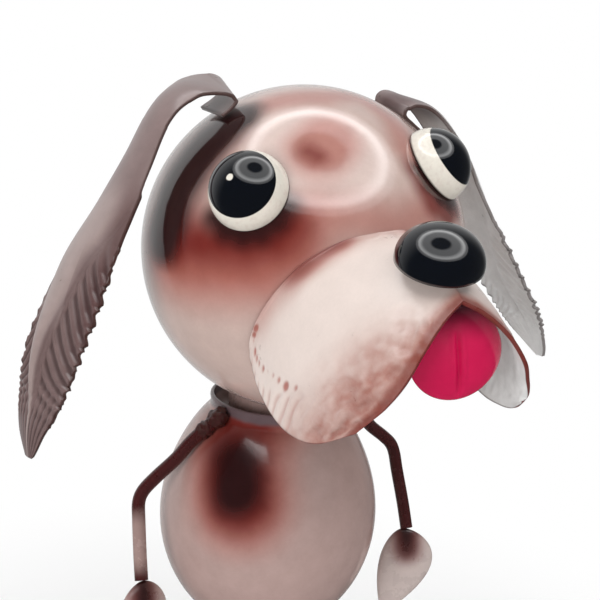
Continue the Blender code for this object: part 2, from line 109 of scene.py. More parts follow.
def length(name, description, default):
    """Size property in metres, from a default in millimetres."""
    return FloatProperty(name=name, description=description, default=default * MM, min=0.0,
                         unit='LENGTH', subtype='DISTANCE', precision=5)


def colour(name, description, code):
    """Colour property from an sRGB hex code."""
    return FloatVectorProperty(name=name, description=description, default=linear(code), size=3,
                               min=0.0, max=1.0, subtype='COLOR')


class DogSizes(bpy.types.PropertyGroup):
    """Sizes of the figure"""
    head_radius: length("Head radius", "Radius of the head ball", 55.0)
    head_forward: length("Head forward", "Head centre in front of the body axis", 16.0)
    head_height: length("Head height", "Head centre above the ground", 233.0)
    dome_radius: length("Dome radius", "Radius of the dome pressing used for eyes and nose", 12.5)
    eye_rise: length("Eye rise", "Height of an eye dome", 11.9)
    nose_rise: length("Nose rise", "Height of the nose dome over its skirt", 9.6)
    sheet: length("Sheet", "Thickness of the muzzle, ears and tongue", 1.2)
    bar_radius: length("Bar radius", "Radius of the bent bar of the limbs", 2.4)
    body_radius: length("Body radius", "Radius of the egg at its widest", 40.5)
    neck_radius: length("Neck radius", "Radius of the bottle neck", 23.8)
    collar_radius: length("Collar radius", "Radius of the ring under the head", 17.5)
    lip_height: length("Lip height", "Height of the neck lip above the ground", 175.0)
    base_radius: length("Base radius", "Radius of the base plate", 62.0)
    base_thickness: length("Base thickness", "Thickness of the base plate", 2.5)
    ear_teeth: IntProperty(name="Ear teeth", description="Scallops along the front edge of a leaf",
                           default=11, min=4, max=20)


class DogPaints(bpy.types.PropertyGroup):
    """Enamel colours of the figure"""
    skin: colour("Skin", "Pale pink enamel of the ball", "B8A29A")
    # Clay also paints the shade in the muzzle's dimples and flutes
    clay: colour("Clay", "Terracotta airbrushed on the forehead and cheeks", "9A5347")
    oxblood: colour("Oxblood", "Red-brown airbrushed round the eyes", "651C17")
    # Maroon also paints the shadow round the eyes and at their feet, and the shade in the ear veins
    maroon: colour("Maroon", "Darkest airbrushed patches of head and chest", "1C0507")
    cream: colour("Cream", "Creamy white of the muzzle", "D0C2BB")
    rose: colour("Rose", "Pink-brown airbrushed on the front of the muzzle", "8F4F40")
    body: colour("Body", "Grey-pink enamel of the egg", "A58C86")
    taupe: colour("Taupe", "Grey-brown enamel of the ears", "7A6967")
    # Limb maroon also paints the shade along the front edge of the ear
    limb: colour("Limb", "Maroon enamel of the bar", "3C1414")
    # Paw grey also paints the highlight on the ear's rib
    paw: colour("Paw", "Pale grey enamel of the paws", "B9AAA5")
    eye_white: colour("Eye white", "White enamel of the lower eye", "D6D1C6")
    black: colour("Black", "Blue-black enamel of pupils and nose", "03060D")
    tongue: colour("Tongue", "Crimson enamel of the tongue", "BF1048")
    # Painted shadow: dark crimson standing for the shade under the muzzle at the root of the tongue
    tongue_shadow: colour("Tongue shade", "Dark crimson at the root of the tongue", "3A0112")
    # Lip: the lip's own grey steel, darkened with painted shade under the head ball
    lip: colour("Lip", "Scorched grey of the neck lip and collar", "5A5054")
    primer: colour("Primer", "Pale grey primer of the left leaf and of the muzzle's inner side", "D2D2D1")
    steel: colour("Scorched steel", "Brown heat tint along cut edges and welds", "3B211B")


# ---------------------------------------------------------------- paint


def add_node(tree, kind, inputs=None, **settings):
    """Node with its settings, its values and its links."""
    node = tree.nodes.new(kind)
    for key, value in settings.items():
        setattr(node, key, value)
    for socket, value in (inputs or {}).items():
        if isinstance(value, bpy.types.NodeSocket):
            tree.links.new(value, node.inputs[socket])
        else:
            node.inputs[socket].default_value = value
    return node


def rgba(value):
    """Four channels for a colour socket."""
    return value if isinstance(value, bpy.types.NodeSocket) else (*value[:3], 1.0)


def new_paint(name, place=None):
    """Empty node material, with the place on the piece in millimetres and the same place ruffled.

    place is where the piece's own axes stand, for pieces that lean with the head.
    """
    mat = bpy.data.materials.new(name)
    mat.use_nodes = True
    tree = mat.node_tree
    tree.nodes.clear()
    spot = add_node(tree, 'ShaderNodeTexCoord').outputs['Object']
    if place is not None:
        spot = add_node(tree, 'ShaderNodeMapping', {'Vector': spot, 'Location': place.translation,
                                                    'Rotation': place.to_euler()}, vector_type='TEXTURE').outputs[0]
    at = add_node(tree, 'ShaderNodeVectorMath', {0: spot, 'Scale': 1 / MM}, operation='SCALE').outputs[0]
    # Airbrush edges wander by about 1 mm over 14 mm
    drift = add_node(tree, 'ShaderNodeTexNoise', {'Vector': at, 'Scale': 1 / 14.0, 'Detail': 3.0})
    centred = add_node(tree, 'ShaderNodeVectorMath', {0: drift.outputs['Color'], 1: (0.5, 0.5, 0.5)},
                       operation='SUBTRACT')
    ruffled = add_node(tree, 'ShaderNodeVectorMath', {0: centred.outputs[0], 1: (3.0, 3.0, 3.0), 2: at},
                       operation='MULTIPLY_ADD').outputs[0]
    return mat, tree, at, ruffled


def blend(tree, under, over, amount):
    """One paint over another."""
    return add_node(tree, 'ShaderNodeMix', {0: amount, 6: rgba(under), 7: rgba(over)},
                    data_type='RGBA').outputs[2]


def airbrush(tree, under, over, at, row, core, reach, strength=1.0):
    """Soft airbrushed colour along a line through points, full within core and gone at reach, in mm."""
    near = None
    for start, end in zip(row, row[1:] or row):
        run = Vector(end) - Vector(start)
        from_start = add_node(tree, 'ShaderNodeVectorMath', {0: at, 1: start}, operation='SUBTRACT').outputs[0]
        share = add_node(tree, 'ShaderNodeVectorMath', {0: from_start, 1: run / max(run.length_squared, 1e-6)},
                         operation='DOT_PRODUCT').outputs['Value']
        share = add_node(tree, 'ShaderNodeClamp', {'Value': share}).outputs[0]
        foot = add_node(tree, 'ShaderNodeVectorMath', {0: run, 'Scale': share}, operation='SCALE').outputs[0]
        away = add_node(tree, 'ShaderNodeVectorMath', {0: from_start, 1: foot}, operation='DISTANCE').outputs['Value']
        near = away if near is None else add_node(
            tree, 'ShaderNodeMath', {0: near, 1: away, 2: 3.0}, operation='SMOOTH_MIN').outputs[0]
    mask = add_node(tree, 'ShaderNodeMapRange',
                    {'Value': near, 'From Min': core, 'From Max': reach, 'To Min': strength, 'To Max': 0.0},
                    interpolation_type='SMOOTHSTEP').outputs[0]
    return blend(tree, under, over, mask)


def pressed_amount(tree, name, low, high, top=1.0):
    """How deep a spot of the sheet lies in a pressed detail, from the mesh's own measure of it."""
    held = add_node(tree, 'ShaderNodeAttribute', attribute_name=name)
    return add_node(tree, 'ShaderNodeMapRange',
                    {'Value': held.outputs['Fac'], 'From Min': low, 'From Max': high, 'To Max': top},
                    interpolation_type='SMOOTHSTEP').outputs[0]


def enamel(mat, tree, at, paint, roughness, coat=0.0, peel=0.02, ripple=0.0, ior=1.5, mottle=0.06):
    """Sprayed and stoved enamel: cloudy colour, dust in the gloss, orange peel and sheet ripple."""
    cloud = add_node(tree, 'ShaderNodeTexNoise', {'Vector': at, 'Scale': 1 / 7.0, 'Detail': 5.0, 'Roughness': 0.6})
    speck = add_node(tree, 'ShaderNodeTexNoise', {'Vector': at, 'Scale': 1 / 0.9, 'Detail': 2.0})
    tone = add_node(tree, 'ShaderNodeMapRange', {'Value': cloud.outputs['Fac'], 'From Min': 0.3, 'From Max': 0.7,
                                                 'To Min': 1 - mottle, 'To Max': 1 + mottle}).outputs[0]
    grain = add_node(tree, 'ShaderNodeMapRange', {'Value': speck.outputs['Fac'], 'From Min': 0.3, 'From Max': 0.7,
                                                  'To Min': 0.985, 'To Max': 1.015}).outputs[0]
    both = add_node(tree, 'ShaderNodeMath', {0: tone, 1: grain}, operation='MULTIPLY').outputs[0]
    toned = add_node(tree, 'ShaderNodeVectorMath', {0: rgba(paint)[:3] if not isinstance(
        paint, bpy.types.NodeSocket) else paint, 'Scale': both}, operation='SCALE').outputs[0]
    gloss = add_node(tree, 'ShaderNodeMapRange',
                     {'Value': cloud.outputs['Fac'], 'From Min': 0.3, 'From Max': 0.7,
                      'To Min': max(0.02, roughness - 0.03), 'To Max': roughness + 0.05}).outputs[0]
    wave = add_node(tree, 'ShaderNodeTexNoise', {'Vector': at, 'Scale': 1 / 9.0, 'Detail': 1.0})
    rippled = add_node(tree, 'ShaderNodeBump', {'Height': wave.outputs['Fac'], 'Strength': 1.0,
                                                'Distance': ripple * MM})
    skin = add_node(tree, 'ShaderNodeTexNoise', {'Vector': at, 'Scale': 1 / 1.6, 'Detail': 2.0})
    peeled = add_node(tree, 'ShaderNodeBump', {'Height': skin.outputs['Fac'], 'Strength': 1.0,
                                               'Distance': peel * MM, 'Normal': rippled.outputs[0]})
    shader = add_node(tree, 'ShaderNodeBsdfPrincipled',
                      {'Base Color': toned, 'Roughness': gloss, 'Normal': peeled.outputs[0], 'IOR': ior,
                       'Coat Weight': coat, 'Coat Roughness': 0.05})
    add_node(tree, 'ShaderNodeOutputMaterial', {0: shader.outputs[0]})
    return mat


def head_enamel(paints, place):
    """Gloss enamel over pale pink, with terracotta, oxblood and maroon airbrushed on, and maroon painted shadow round
    the eyes.
    """
    mat, tree, at, soft = new_paint("head gloss enamel", place)
    skin = blend(tree, paints.skin, paints.skin, 0.0)
    for row, core, reach, strength in (
            ([(-10, -35, 41), (-6, -33, 43)], 5, 15, 0.7),
            ([(-14, -10, 52), (1, -14, 53), (16, -12, 51), (22, -24, 44), (20, -34, 38)], 1, 11, 0.6),
            ([(-54, -12, 8), (-48, -25, 9), (-42, -35, 10), (-34, -42, 11), (-27, -46, 14)], 1, 23, 0.9),
            ([(-22, -45, 23), (-17, -47, 25), (8, -51, 18), (20, -48, 20)], 0, 13, 0.6)):
        skin = airbrush(tree, skin, paints.clay, soft, row, core, reach, strength)
    for row, core, reach, strength in (
            ([(-54, -2, 12), (-50, -18, 14), (-46, -26, 15), (-42, -32, 16), (-37, -38, 16), (-29, -43, 18),
              (-25, -44, 21)], 0.0, 14.0, 0.95),
            ([(-34, -8, 43), (-39, -9, 38), (-44, -9, 33), (-47, -10, 27), (-50, -11, 20)], 7, 19, 0.6),
            ([(-14, -35, 41), (-12, -37, 39)], 0, 6, 0.7),
            ([(20, -40, 32), (22, -43, 27), (24, -45, 22), (30, -43, 17), (37, -37, 17)], 1, 8, 0.85)):
        skin = airbrush(tree, skin, paints.oxblood, soft, row, core, reach, strength)
    # Darkest band from the ear down the cheek, and painted contact shadow hugging the eyes
    band = [(-26, -8, 48), (-34, -8, 43), (-39, -8, 38), (-44, -8, 33), (-48, -8, 27), (-51, -9, 20), (-53, -9, 15)]
    skin = airbrush(tree, skin, paints.maroon, soft, band, 5.5, 14.0, 0.97)
    hug = [(-42.3, -27.3, 22.6), (-40.4, -32, 19.6), (-36.9, -36.6, 18.6), (-32.4, -40.1, 19.6),
           (-27.8, -42, 22.6), (-23.8, -41.9, 26.9)]
    skin = airbrush(tree, skin, paints.maroon, at, hug, 0.0, 7.0, 0.9)
    hug = [(21.3, -39.8, 31.8), (23.8, -41.9, 26.9), (27.8, -42, 22.6), (32.4, -40.1, 19.6), (36.9, -36.6, 18.6)]
    skin = airbrush(tree, skin, paints.maroon, at, hug, 0.0, 4.5, 0.9)
    return enamel(mat, tree, at, skin, 0.10, coat=0.6, peel=0.01, ripple=0.10, mottle=0.05)


def eye_enamel(paints, rise, dab, place):
    """Gloss enamel brushed on in two tones: a black cap over a white band, with a drop of white, and painted contact
    shadow at its foot.
    """
    mat, tree, at, soft = new_paint("eye two-tone gloss enamel", place)
    axes = add_node(tree, 'ShaderNodeSeparateXYZ', {0: at})
    dirt = add_node(tree, 'ShaderNodeTexNoise', {'Vector': at, 'Scale': 1 / 1.5, 'Detail': 3.0})
    grimy = add_node(tree, 'ShaderNodeMapRange', {'Value': dirt.outputs['Fac'], 'From Min': 0.5, 'From Max': 0.8,
                                                  'To Max': 0.35}).outputs[0]
    white = blend(tree, paints.eye_white, paints.skin, grimy)
    # Painted contact shadow: maroon at the foot of the dome, where it stands on the ball
    foot = add_node(tree, 'ShaderNodeMapRange', {'Value': axes.outputs['Z'], 'From Min': 1.0, 'From Max': 0.1},
                    interpolation_type='SMOOTHSTEP').outputs[0]
    white = blend(tree, white, paints.maroon, foot)
    cap = add_node(tree, 'ShaderNodeMapRange',
                   {'Value': axes.outputs['Z'], 'From Min': rise / MM * 0.540 - 0.12,
                    'From Max': rise / MM * 0.540 + 0.12}, interpolation_type='SMOOTHSTEP').outputs[0]
    paint = blend(tree, white, paints.black, cap)
    if dab is not None:
        paint = airbrush(tree, paint, paints.eye_white, soft, [dab], 0.9, 1.25, 1.0)
    return enamel(mat, tree, at, paint, 0.05, coat=0.35, peel=0.008, ripple=0.02, mottle=0.03)


def black_enamel(paints, place):
    """Gloss blue-black enamel over a pressed dome, with a few pinholes of dust."""
    mat, tree, at, _ = new_paint("nose gloss black enamel", place)
    dust = add_node(tree, 'ShaderNodeTexNoise', {'Vector': at, 'Scale': 1 / 0.6, 'Detail': 2.0})
    spots = add_node(tree, 'ShaderNodeMapRange', {'Value': dust.outputs['Fac'], 'From Min': 0.72, 'From Max': 0.78,
                                                  'To Max': 0.5}).outputs[0]
    paint = blend(tree, paints.black, paints.steel, spots)
    return enamel(mat, tree, at, paint, 0.05, coat=0.35, peel=0.012, ripple=0.03, mottle=0.1)


def muzzle_enamel(paints, place):
    """Cream satin-gloss enamel on hammered sheet, with clay painted into its dimples and flutes as painted shade, and
    brown along its scorched edges.
    """
    mat, tree, at, soft = new_paint("muzzle cream enamel", place)
    paint = blend(tree, paints.cream, paints.cream, 0.0)
    tint = pressed_amount(tree, "front_tint", 0.0, 1.0, 0.95)
    broken = add_node(tree, 'ShaderNodeTexNoise', {'Vector': at, 'Scale': 1 / 4.5, 'Detail': 4.0, 'Roughness': 0.62})
    patchy = add_node(tree, 'ShaderNodeMapRange', {'Value': broken.outputs['Fac'], 'From Min': 0.38, 'From Max': 0.62,
                                                   'To Min': 0.8, 'To Max': 1.0}).outputs[0]
    amount = add_node(tree, 'ShaderNodeMath', {0: tint, 1: patchy}, operation='MULTIPLY').outputs[0]
    paint = blend(tree, paint, paints.rose, amount)
    paint = blend(tree, paint, paints.oxblood, pressed_amount(tree, "front_tint", 0.75, 1.0, 0.6))
    paint = blend(tree, paint, paints.clay, pressed_amount(tree, "rear_tint", 0.0, 0.9, 0.8))
    paint = blend(tree, paint, paints.oxblood, pressed_amount(tree, "rear_tint", 0.45, 1.1, 0.75))
    # Painted shade: clay in the dimples and flute troughs
    paint = blend(tree, paint, paints.clay, pressed_amount(tree, "hollow", 0.15, 0.8, 0.85))
    paint = blend(tree, paint, paints.oxblood, pressed_amount(tree, "cut_edge", 0.5, 1.0, 0.7))
    return enamel(mat, tree, at, paint, 0.30, coat=0.15, peel=0.02, ripple=0.03, mottle=0.03)


def lining_enamel(paints, place):
    """Thin grey primer inside the muzzle, where no top coat reached."""
    mat, tree, at, soft = new_paint("muzzle grey primer", place)
    paint = blend(tree, paints.primer, paints.steel, pressed_amount(tree, "cut_edge", 0.3, 0.9, 0.8))
    return enamel(mat, tree, at, paint, 0.42, peel=0.03, ripple=0.1, mottle=0.10)


def tongue_enamel(paints, place):
    """Gloss crimson enamel, with painted shadow darkening it where it goes up under the muzzle."""
    mat, tree, at, soft = new_paint("tongue gloss crimson enamel", place)
    axes = add_node(tree, 'ShaderNodeSeparateXYZ', {0: soft})
    # Painted shadow under the muzzle: the tongue darkens towards its top
    shade = add_node(tree, 'ShaderNodeMapRange', {'Value': axes.outputs['Z'], 'From Min': -5.0, 'From Max': 7.0},
                     interpolation_type='SMOOTHSTEP').outputs[0]
    paint = blend(tree, paints.tongue, paints.tongue_shadow, shade)
    return enamel(mat, tree, at, paint, 0.16, coat=0.3, peel=0.012, ripple=0.05, mottle=0.06)


def ear_enamel(paints, place):
    """Thin taupe enamel over pressed sheet, with painted shade in the vein troughs and along the front edge and a
    painted highlight on the rib crest; the left leaf stayed in pale grey primer.
    """
    mat, tree, at, soft = new_paint("ear taupe enamel", place)
    paint = blend(tree, paints.taupe, paints.limb, pressed_amount(tree, "leaf", 0.1, 1.0, 0.35))
    # Painted highlight: paw grey lightening the crest of the rib
    paint = blend(tree, paint, paints.paw, pressed_amount(tree, "crest_highlight", 0.3, 1.0, 0.35))
    # Painted shade: limb maroon darkening the front edge of the leaf
    paint = blend(tree, paint, paints.limb, pressed_amount(tree, "front_edge", 0.0, 1.0, 0.55))
    across = add_node(tree, 'ShaderNodeSeparateXYZ', {0: soft}).outputs['X']
    left = add_node(tree, 'ShaderNodeMapRange', {'Value': across, 'From Min': 46.0, 'From Max': 58.0},
                    interpolation_type='SMOOTHSTEP').outputs[0]
    # Painted shade: maroon in the vein troughs
    deep = add_node(tree, 'ShaderNodeMath', {0: pressed_amount(tree, "hollow", 0.25, 1.0, 0.55), 1: 1.0},
                    operation='MULTIPLY').outputs[0]
    paint = blend(tree, paint, paints.maroon, deep)
    paint = blend(tree, paint, paints.primer, left)
    paint = airbrush(tree, paint, paints.limb, soft, [(37, 4, 44), (44, 4, 46), (50, 4, 41)], 3, 10, 0.6)
    paint = blend(tree, paint, paints.steel, pressed_amount(tree, "cut_edge", 0.3, 0.9, 0.7))
    return enamel(mat, tree, at, paint, 0.30, coat=0.2, peel=0.02, ripple=0.12, mottle=0.09)


def body_enamel(paints, rise, place):
    """Gloss grey-pink enamel with a burgundy bloom airbrushed on the chest, and a dark grey lip with painted shade
    under the head.
    """
    mat, tree, at, soft = new_paint("body gloss enamel", place)
    paint = blend(tree, paints.body, paints.body, 0.0)
    chest = [(-17, -16, 168 - rise), (-21, -18, 161 - rise), (-24, -25, 154 - rise), (-24, -28, 148 - rise)]
    paint = airbrush(tree, paint, paints.clay, soft, chest, 10, 27, 0.7)
    paint = airbrush(tree, paint, paints.oxblood, soft, chest, 6, 19.5, 0.95)
    paint = airbrush(tree, paint, paints.maroon, soft, [(-22, -21, 158 - rise), (-24, -26, 151 - rise)], 4, 15, 0.95)
    # The top of the rolled lip is painted dark grey: its own grey steel, deepened with painted shade under the head
    # ball
    axes = add_node(tree, 'ShaderNodeSeparateXYZ', {0: soft})
    lip = add_node(tree, 'ShaderNodeMapRange', {'Value': axes.outputs['Z'], 'From Min': -4.5, 'From Max': -2.5,
                                                'To Max': 0.85}, interpolation_type='SMOOTHSTEP').outputs[0]
    paint = blend(tree, paint, paints.lip, lip)
    return enamel(mat, tree, at, paint, 0.20, coat=0.35, peel=0.012, ripple=0.12, mottle=0.06)


def limb_enamel(paints, pale_rows, reach):
    """Maroon enamel on round bar, with pale stretches where the grey-pink spray passed over it."""
    mat, tree, at, soft = new_paint("limb maroon enamel")
    paint = airbrush(tree, paints.limb, paints.body, soft, pale_rows, reach * 0.3, reach, 0.75)
    return enamel(mat, tree, at, paint, 0.26, coat=0.2, peel=0.02, ripple=0.05, mottle=0.06)


def paw_enamel(paints, wrists, reach):
    """Pale grey enamel, misted maroon at the wrist."""
    mat, tree, at, soft = new_paint("paw pale enamel")
    paint = airbrush(tree, paints.paw, paints.oxblood, soft, wrists, reach * 0.2, reach, 0.9)
    paint = airbrush(tree, paint, paints.maroon, soft, wrists, 0.0, reach * 0.65, 0.9)
    return enamel(mat, tree, at, paint, 0.28, coat=0.2, peel=0.02, ripple=0.08, mottle=0.06)


def plate_enamel(paints):
    """Maroon satin enamel on the base plate, scuffed along its rim."""
    mat, tree, at, soft = new_paint("base satin enamel")
    axes = add_node(tree, 'ShaderNodeSeparateXYZ', {0: at})
    flat = add_node(tree, 'ShaderNodeCombineXYZ', {0: axes.outputs['X'], 1: axes.outputs['Y']})
    out = add_node(tree, 'ShaderNodeVectorMath', {0: flat.outputs[0]}, operation='LENGTH').outputs['Value']
    rim = add_node(tree, 'ShaderNodeMapRange', {'Value': out, 'From Min': 60.0, 'From Max': 62.5},
                   interpolation_type='SMOOTHSTEP').outputs[0]
    scuff = add_node(tree, 'ShaderNodeTexNoise', {'Vector': at, 'Scale': 1 / 2.5, 'Detail': 4.0})
    worn = add_node(tree, 'ShaderNodeMapRange', {'Value': scuff.outputs['Fac'], 'From Min': 0.5, 'From Max': 0.65,
                                                 'To Max': 0.6}).outputs[0]
    amount = add_node(tree, 'ShaderNodeMath', {0: rim, 1: worn}, operation='MULTIPLY').outputs[0]
    paint = blend(tree, paints.limb, paints.paw, amount)
    return enamel(mat, tree, at, paint, 0.36, peel=0.03, ripple=0.08, mottle=0.14)


def weld_enamel(paints):
    """Lumpy weld bead painted over in maroon, scorched in its hollows."""
    mat, tree, at, soft = new_paint("weld bead enamel")
    lump = add_node(tree, 'ShaderNodeTexNoise', {'Vector': at, 'Scale': 1 / 1.2, 'Detail': 3.0})
    burnt = add_node(tree, 'ShaderNodeMapRange', {'Value': lump.outputs['Fac'], 'From Min': 0.4, 'From Max': 0.65}
                     ).outputs[0]
    paint = blend(tree, paints.limb, paints.steel, burnt)
    return enamel(mat, tree, at, paint, 0.34, coat=0.2, peel=0.12, ripple=0.1, mottle=0.2)


# ---------------------------------------------------------------- shapes


def smooth_point(points, share):
    """Point at a share of the way along a smooth curve through the control points."""
    pts = [Vector(p) for p in points]
    ext = [2 * pts[0] - pts[1]] + pts + [2 * pts[-1] - pts[-2]]
    spans = [(b - a).length for a, b in zip(pts, pts[1:])]
    want = share * sum(spans)
    i = 0
    while i < len(spans) - 1 and want > spans[i]:
        want -= spans[i]
        i += 1
    t = min(1.0, want / spans[i])
    p0, p1, p2, p3 = ext[i:i + 4]
    return 0.5 * (2 * p1 + (p2 - p0) * t + (2 * p0 - 5 * p1 + 4 * p2 - p3) * t * t
                  + (3 * p1 - p0 - 3 * p2 + p3) * t ** 3)


def sheen_step(low, high, value):
    """Smooth step from 0 at low to 1 at high."""
    t = min(1.0, max(0.0, (value - low) / (high - low)))
    return t * t * (3 - 2 * t)


def head_place(sizes):
    """Where the head and all it carries stands, with its lean."""
    lean = Euler([math.radians(a) for a in (1.2, -6.6, 1.3)])
    return Matrix.Translation((0.0, -sizes.head_forward, sizes.head_height)) @ lean.to_matrix().to_4x4()


def dog_collection():
    """Collection that holds the dressed pieces."""
    name = "Metal dog"
    found = bpy.data.collections.get(name)
    if found is None:
        found = bpy.data.collections.new(name)
        bpy.context.scene.collection.children.link(found)
    return found


def dress(name, data, paint, nodes=()):
    """Finished piece: painted, riding on the figure and standing for its solid."""
    obj = bpy.data.objects.new(name, data)
    data.materials.append(paint)
    dog_collection().objects.link(obj)
    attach(obj, "root")
    if nodes:
        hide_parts(*nodes)
    return obj


def settle(obj, place):
    """Fixes a piece's modifiers and its place into its mesh."""
    bpy.context.view_layer.update()
    finished = obj.evaluated_get(bpy.context.evaluated_depsgraph_get())
    mesh = bpy.data.meshes.new_from_object(finished, preserve_all_data_layers=True,
                                           depsgraph=bpy.context.evaluated_depsgraph_get())
    mesh.transform(place)
    mesh.name = obj.name
    obj.modifiers.clear()
    obj.data = mesh
    return obj


def mesh_from(bm, name):
    """Smooth-shaded mesh in metres from one drawn in millimetres."""
    bmesh.ops.scale(bm, vec=(MM, MM, MM), verts=bm.verts)
    mesh = bpy.data.meshes.new(name)
    bm.to_mesh(mesh)
    bm.free()
    mesh.shade_smooth()
    return mesh


def turned(name, profile, steps, paint, nodes, place):
    """Piece turned from a profile in millimetres that runs down its outer side."""
    bm = bmesh.new()
    verts = [bm.verts.new((r, 0.0, z)) for r, z in profile]
    for pair in zip(verts, verts[1:]):
        bm.edges.new(pair)
    obj = dress(name, mesh_from(bm, name), paint, nodes)
    screw = obj.modifiers.new("Turn", 'SCREW')
    screw.axis = 'Z'
    screw.steps = steps
    screw.render_steps = steps
    screw.use_merge_vertices = True
    screw.merge_threshold = 0.00001
    screw.use_smooth_shade = True
    return settle(obj, place)


def pressed(name, surface, along, across, facts, flip=False, closed=False):
    """Sheet shaped by surface(u, v): a point, the relief pressed there, and measures for the paint."""
    bm = bmesh.new()
    bmesh.ops.create_grid(bm, x_segments=along, y_segments=across, size=1.0)
    layers = {fact: bm.verts.layers.float.new(fact) for fact in facts}
    lift = bm.verts.layers.float_vector.new("lift")
    for v in bm.verts:
        v.co, relief, measured = surface(0.5 * (v.co.x + 1), 0.5 * (v.co.y + 1))
        v[lift] = relief * MM
        for fact, value in measured.items():
            v[layers[fact]] = value
    if closed:
        bmesh.ops.remove_doubles(bm, verts=bm.verts, dist=0.001)
    if flip:
        bmesh.ops.reverse_faces(bm, faces=bm.faces)
    return mesh_from(bm, name)


def thicken(obj, thickness, place, lining=0):
    """Gives a sheet its thickness on the inner side, puts it in its place and presses its relief."""
    wall = obj.modifiers.new("Sheet", 'SOLIDIFY')
    wall.thickness = thickness
    wall.offset = -1.0
    wall.use_rim = True
    wall.material_offset = lining
    wall.use_quality_normals = True
    settle(obj, place)
    turn = place.to_3x3()
    lifts = obj.data.attributes["lift"]
    for vertex, lift in zip(obj.data.vertices, lifts.data):
        vertex.co += turn @ lift.vector
    obj.data.attributes.remove(lifts)
    obj.data.update()
    return obj


def dome(radius, rise, skirt=0.0, steps=24):
    """Profile of a pressed dome from its crown to its rim."""
    arc = [(radius * math.sin(0.5 * math.pi * i / steps), skirt + rise * math.cos(0.5 * math.pi * i / steps))
           for i in range(steps + 1)]
    return arc + [(radius, 0.0)] if skirt > 0 else arc


def eye_place(sizes, side):
    """Where an eye dome stands on the ball."""
    az, up = math.radians(45.3), math.radians(33.8)
    look = Vector((side * math.sin(az) * math.cos(up), -math.cos(az) * math.cos(up), math.sin(up)))
    seat = math.sqrt((sizes.head_radius + GAP * MM) ** 2 - sizes.dome_radius ** 2)
    return (head_place(sizes) @ Matrix.Translation(look * seat)
            @ look.to_track_quat('Z', 'Y').to_matrix().to_4x4())


def bump_at(u, w, spots, size):
    """Depth of the nearest pressed dimple, 1 at its middle."""
    deep = 0.0
    for su, sw in spots:
        stray = noise.noise(Vector((su * 31.0, sw * 17.0, 0.5)))
        away = math.hypot((u - su - 0.006 * stray) * 52.0, (w - sw - 0.012 * stray) * 42.0)
        deep = max(deep, (0.7 + 0.6 * stray) * math.exp(-(away / (size * (0.85 + 0.4 * stray))) ** 2))
    return deep


# Dimples punched along the rear of each flap, in shares of the way to the front and down to the hem
DIMPLES = [(0.02, 0.80), (0.025, 0.84), (0.04, 0.88), (0.08, 0.895), (0.12, 0.90), (0.16, 0.895), (0.21, 0.88),
           (0.26, 0.865), (0.31, 0.845), (0.36, 0.83), (0.42, 0.815), (0.49, 0.79)]


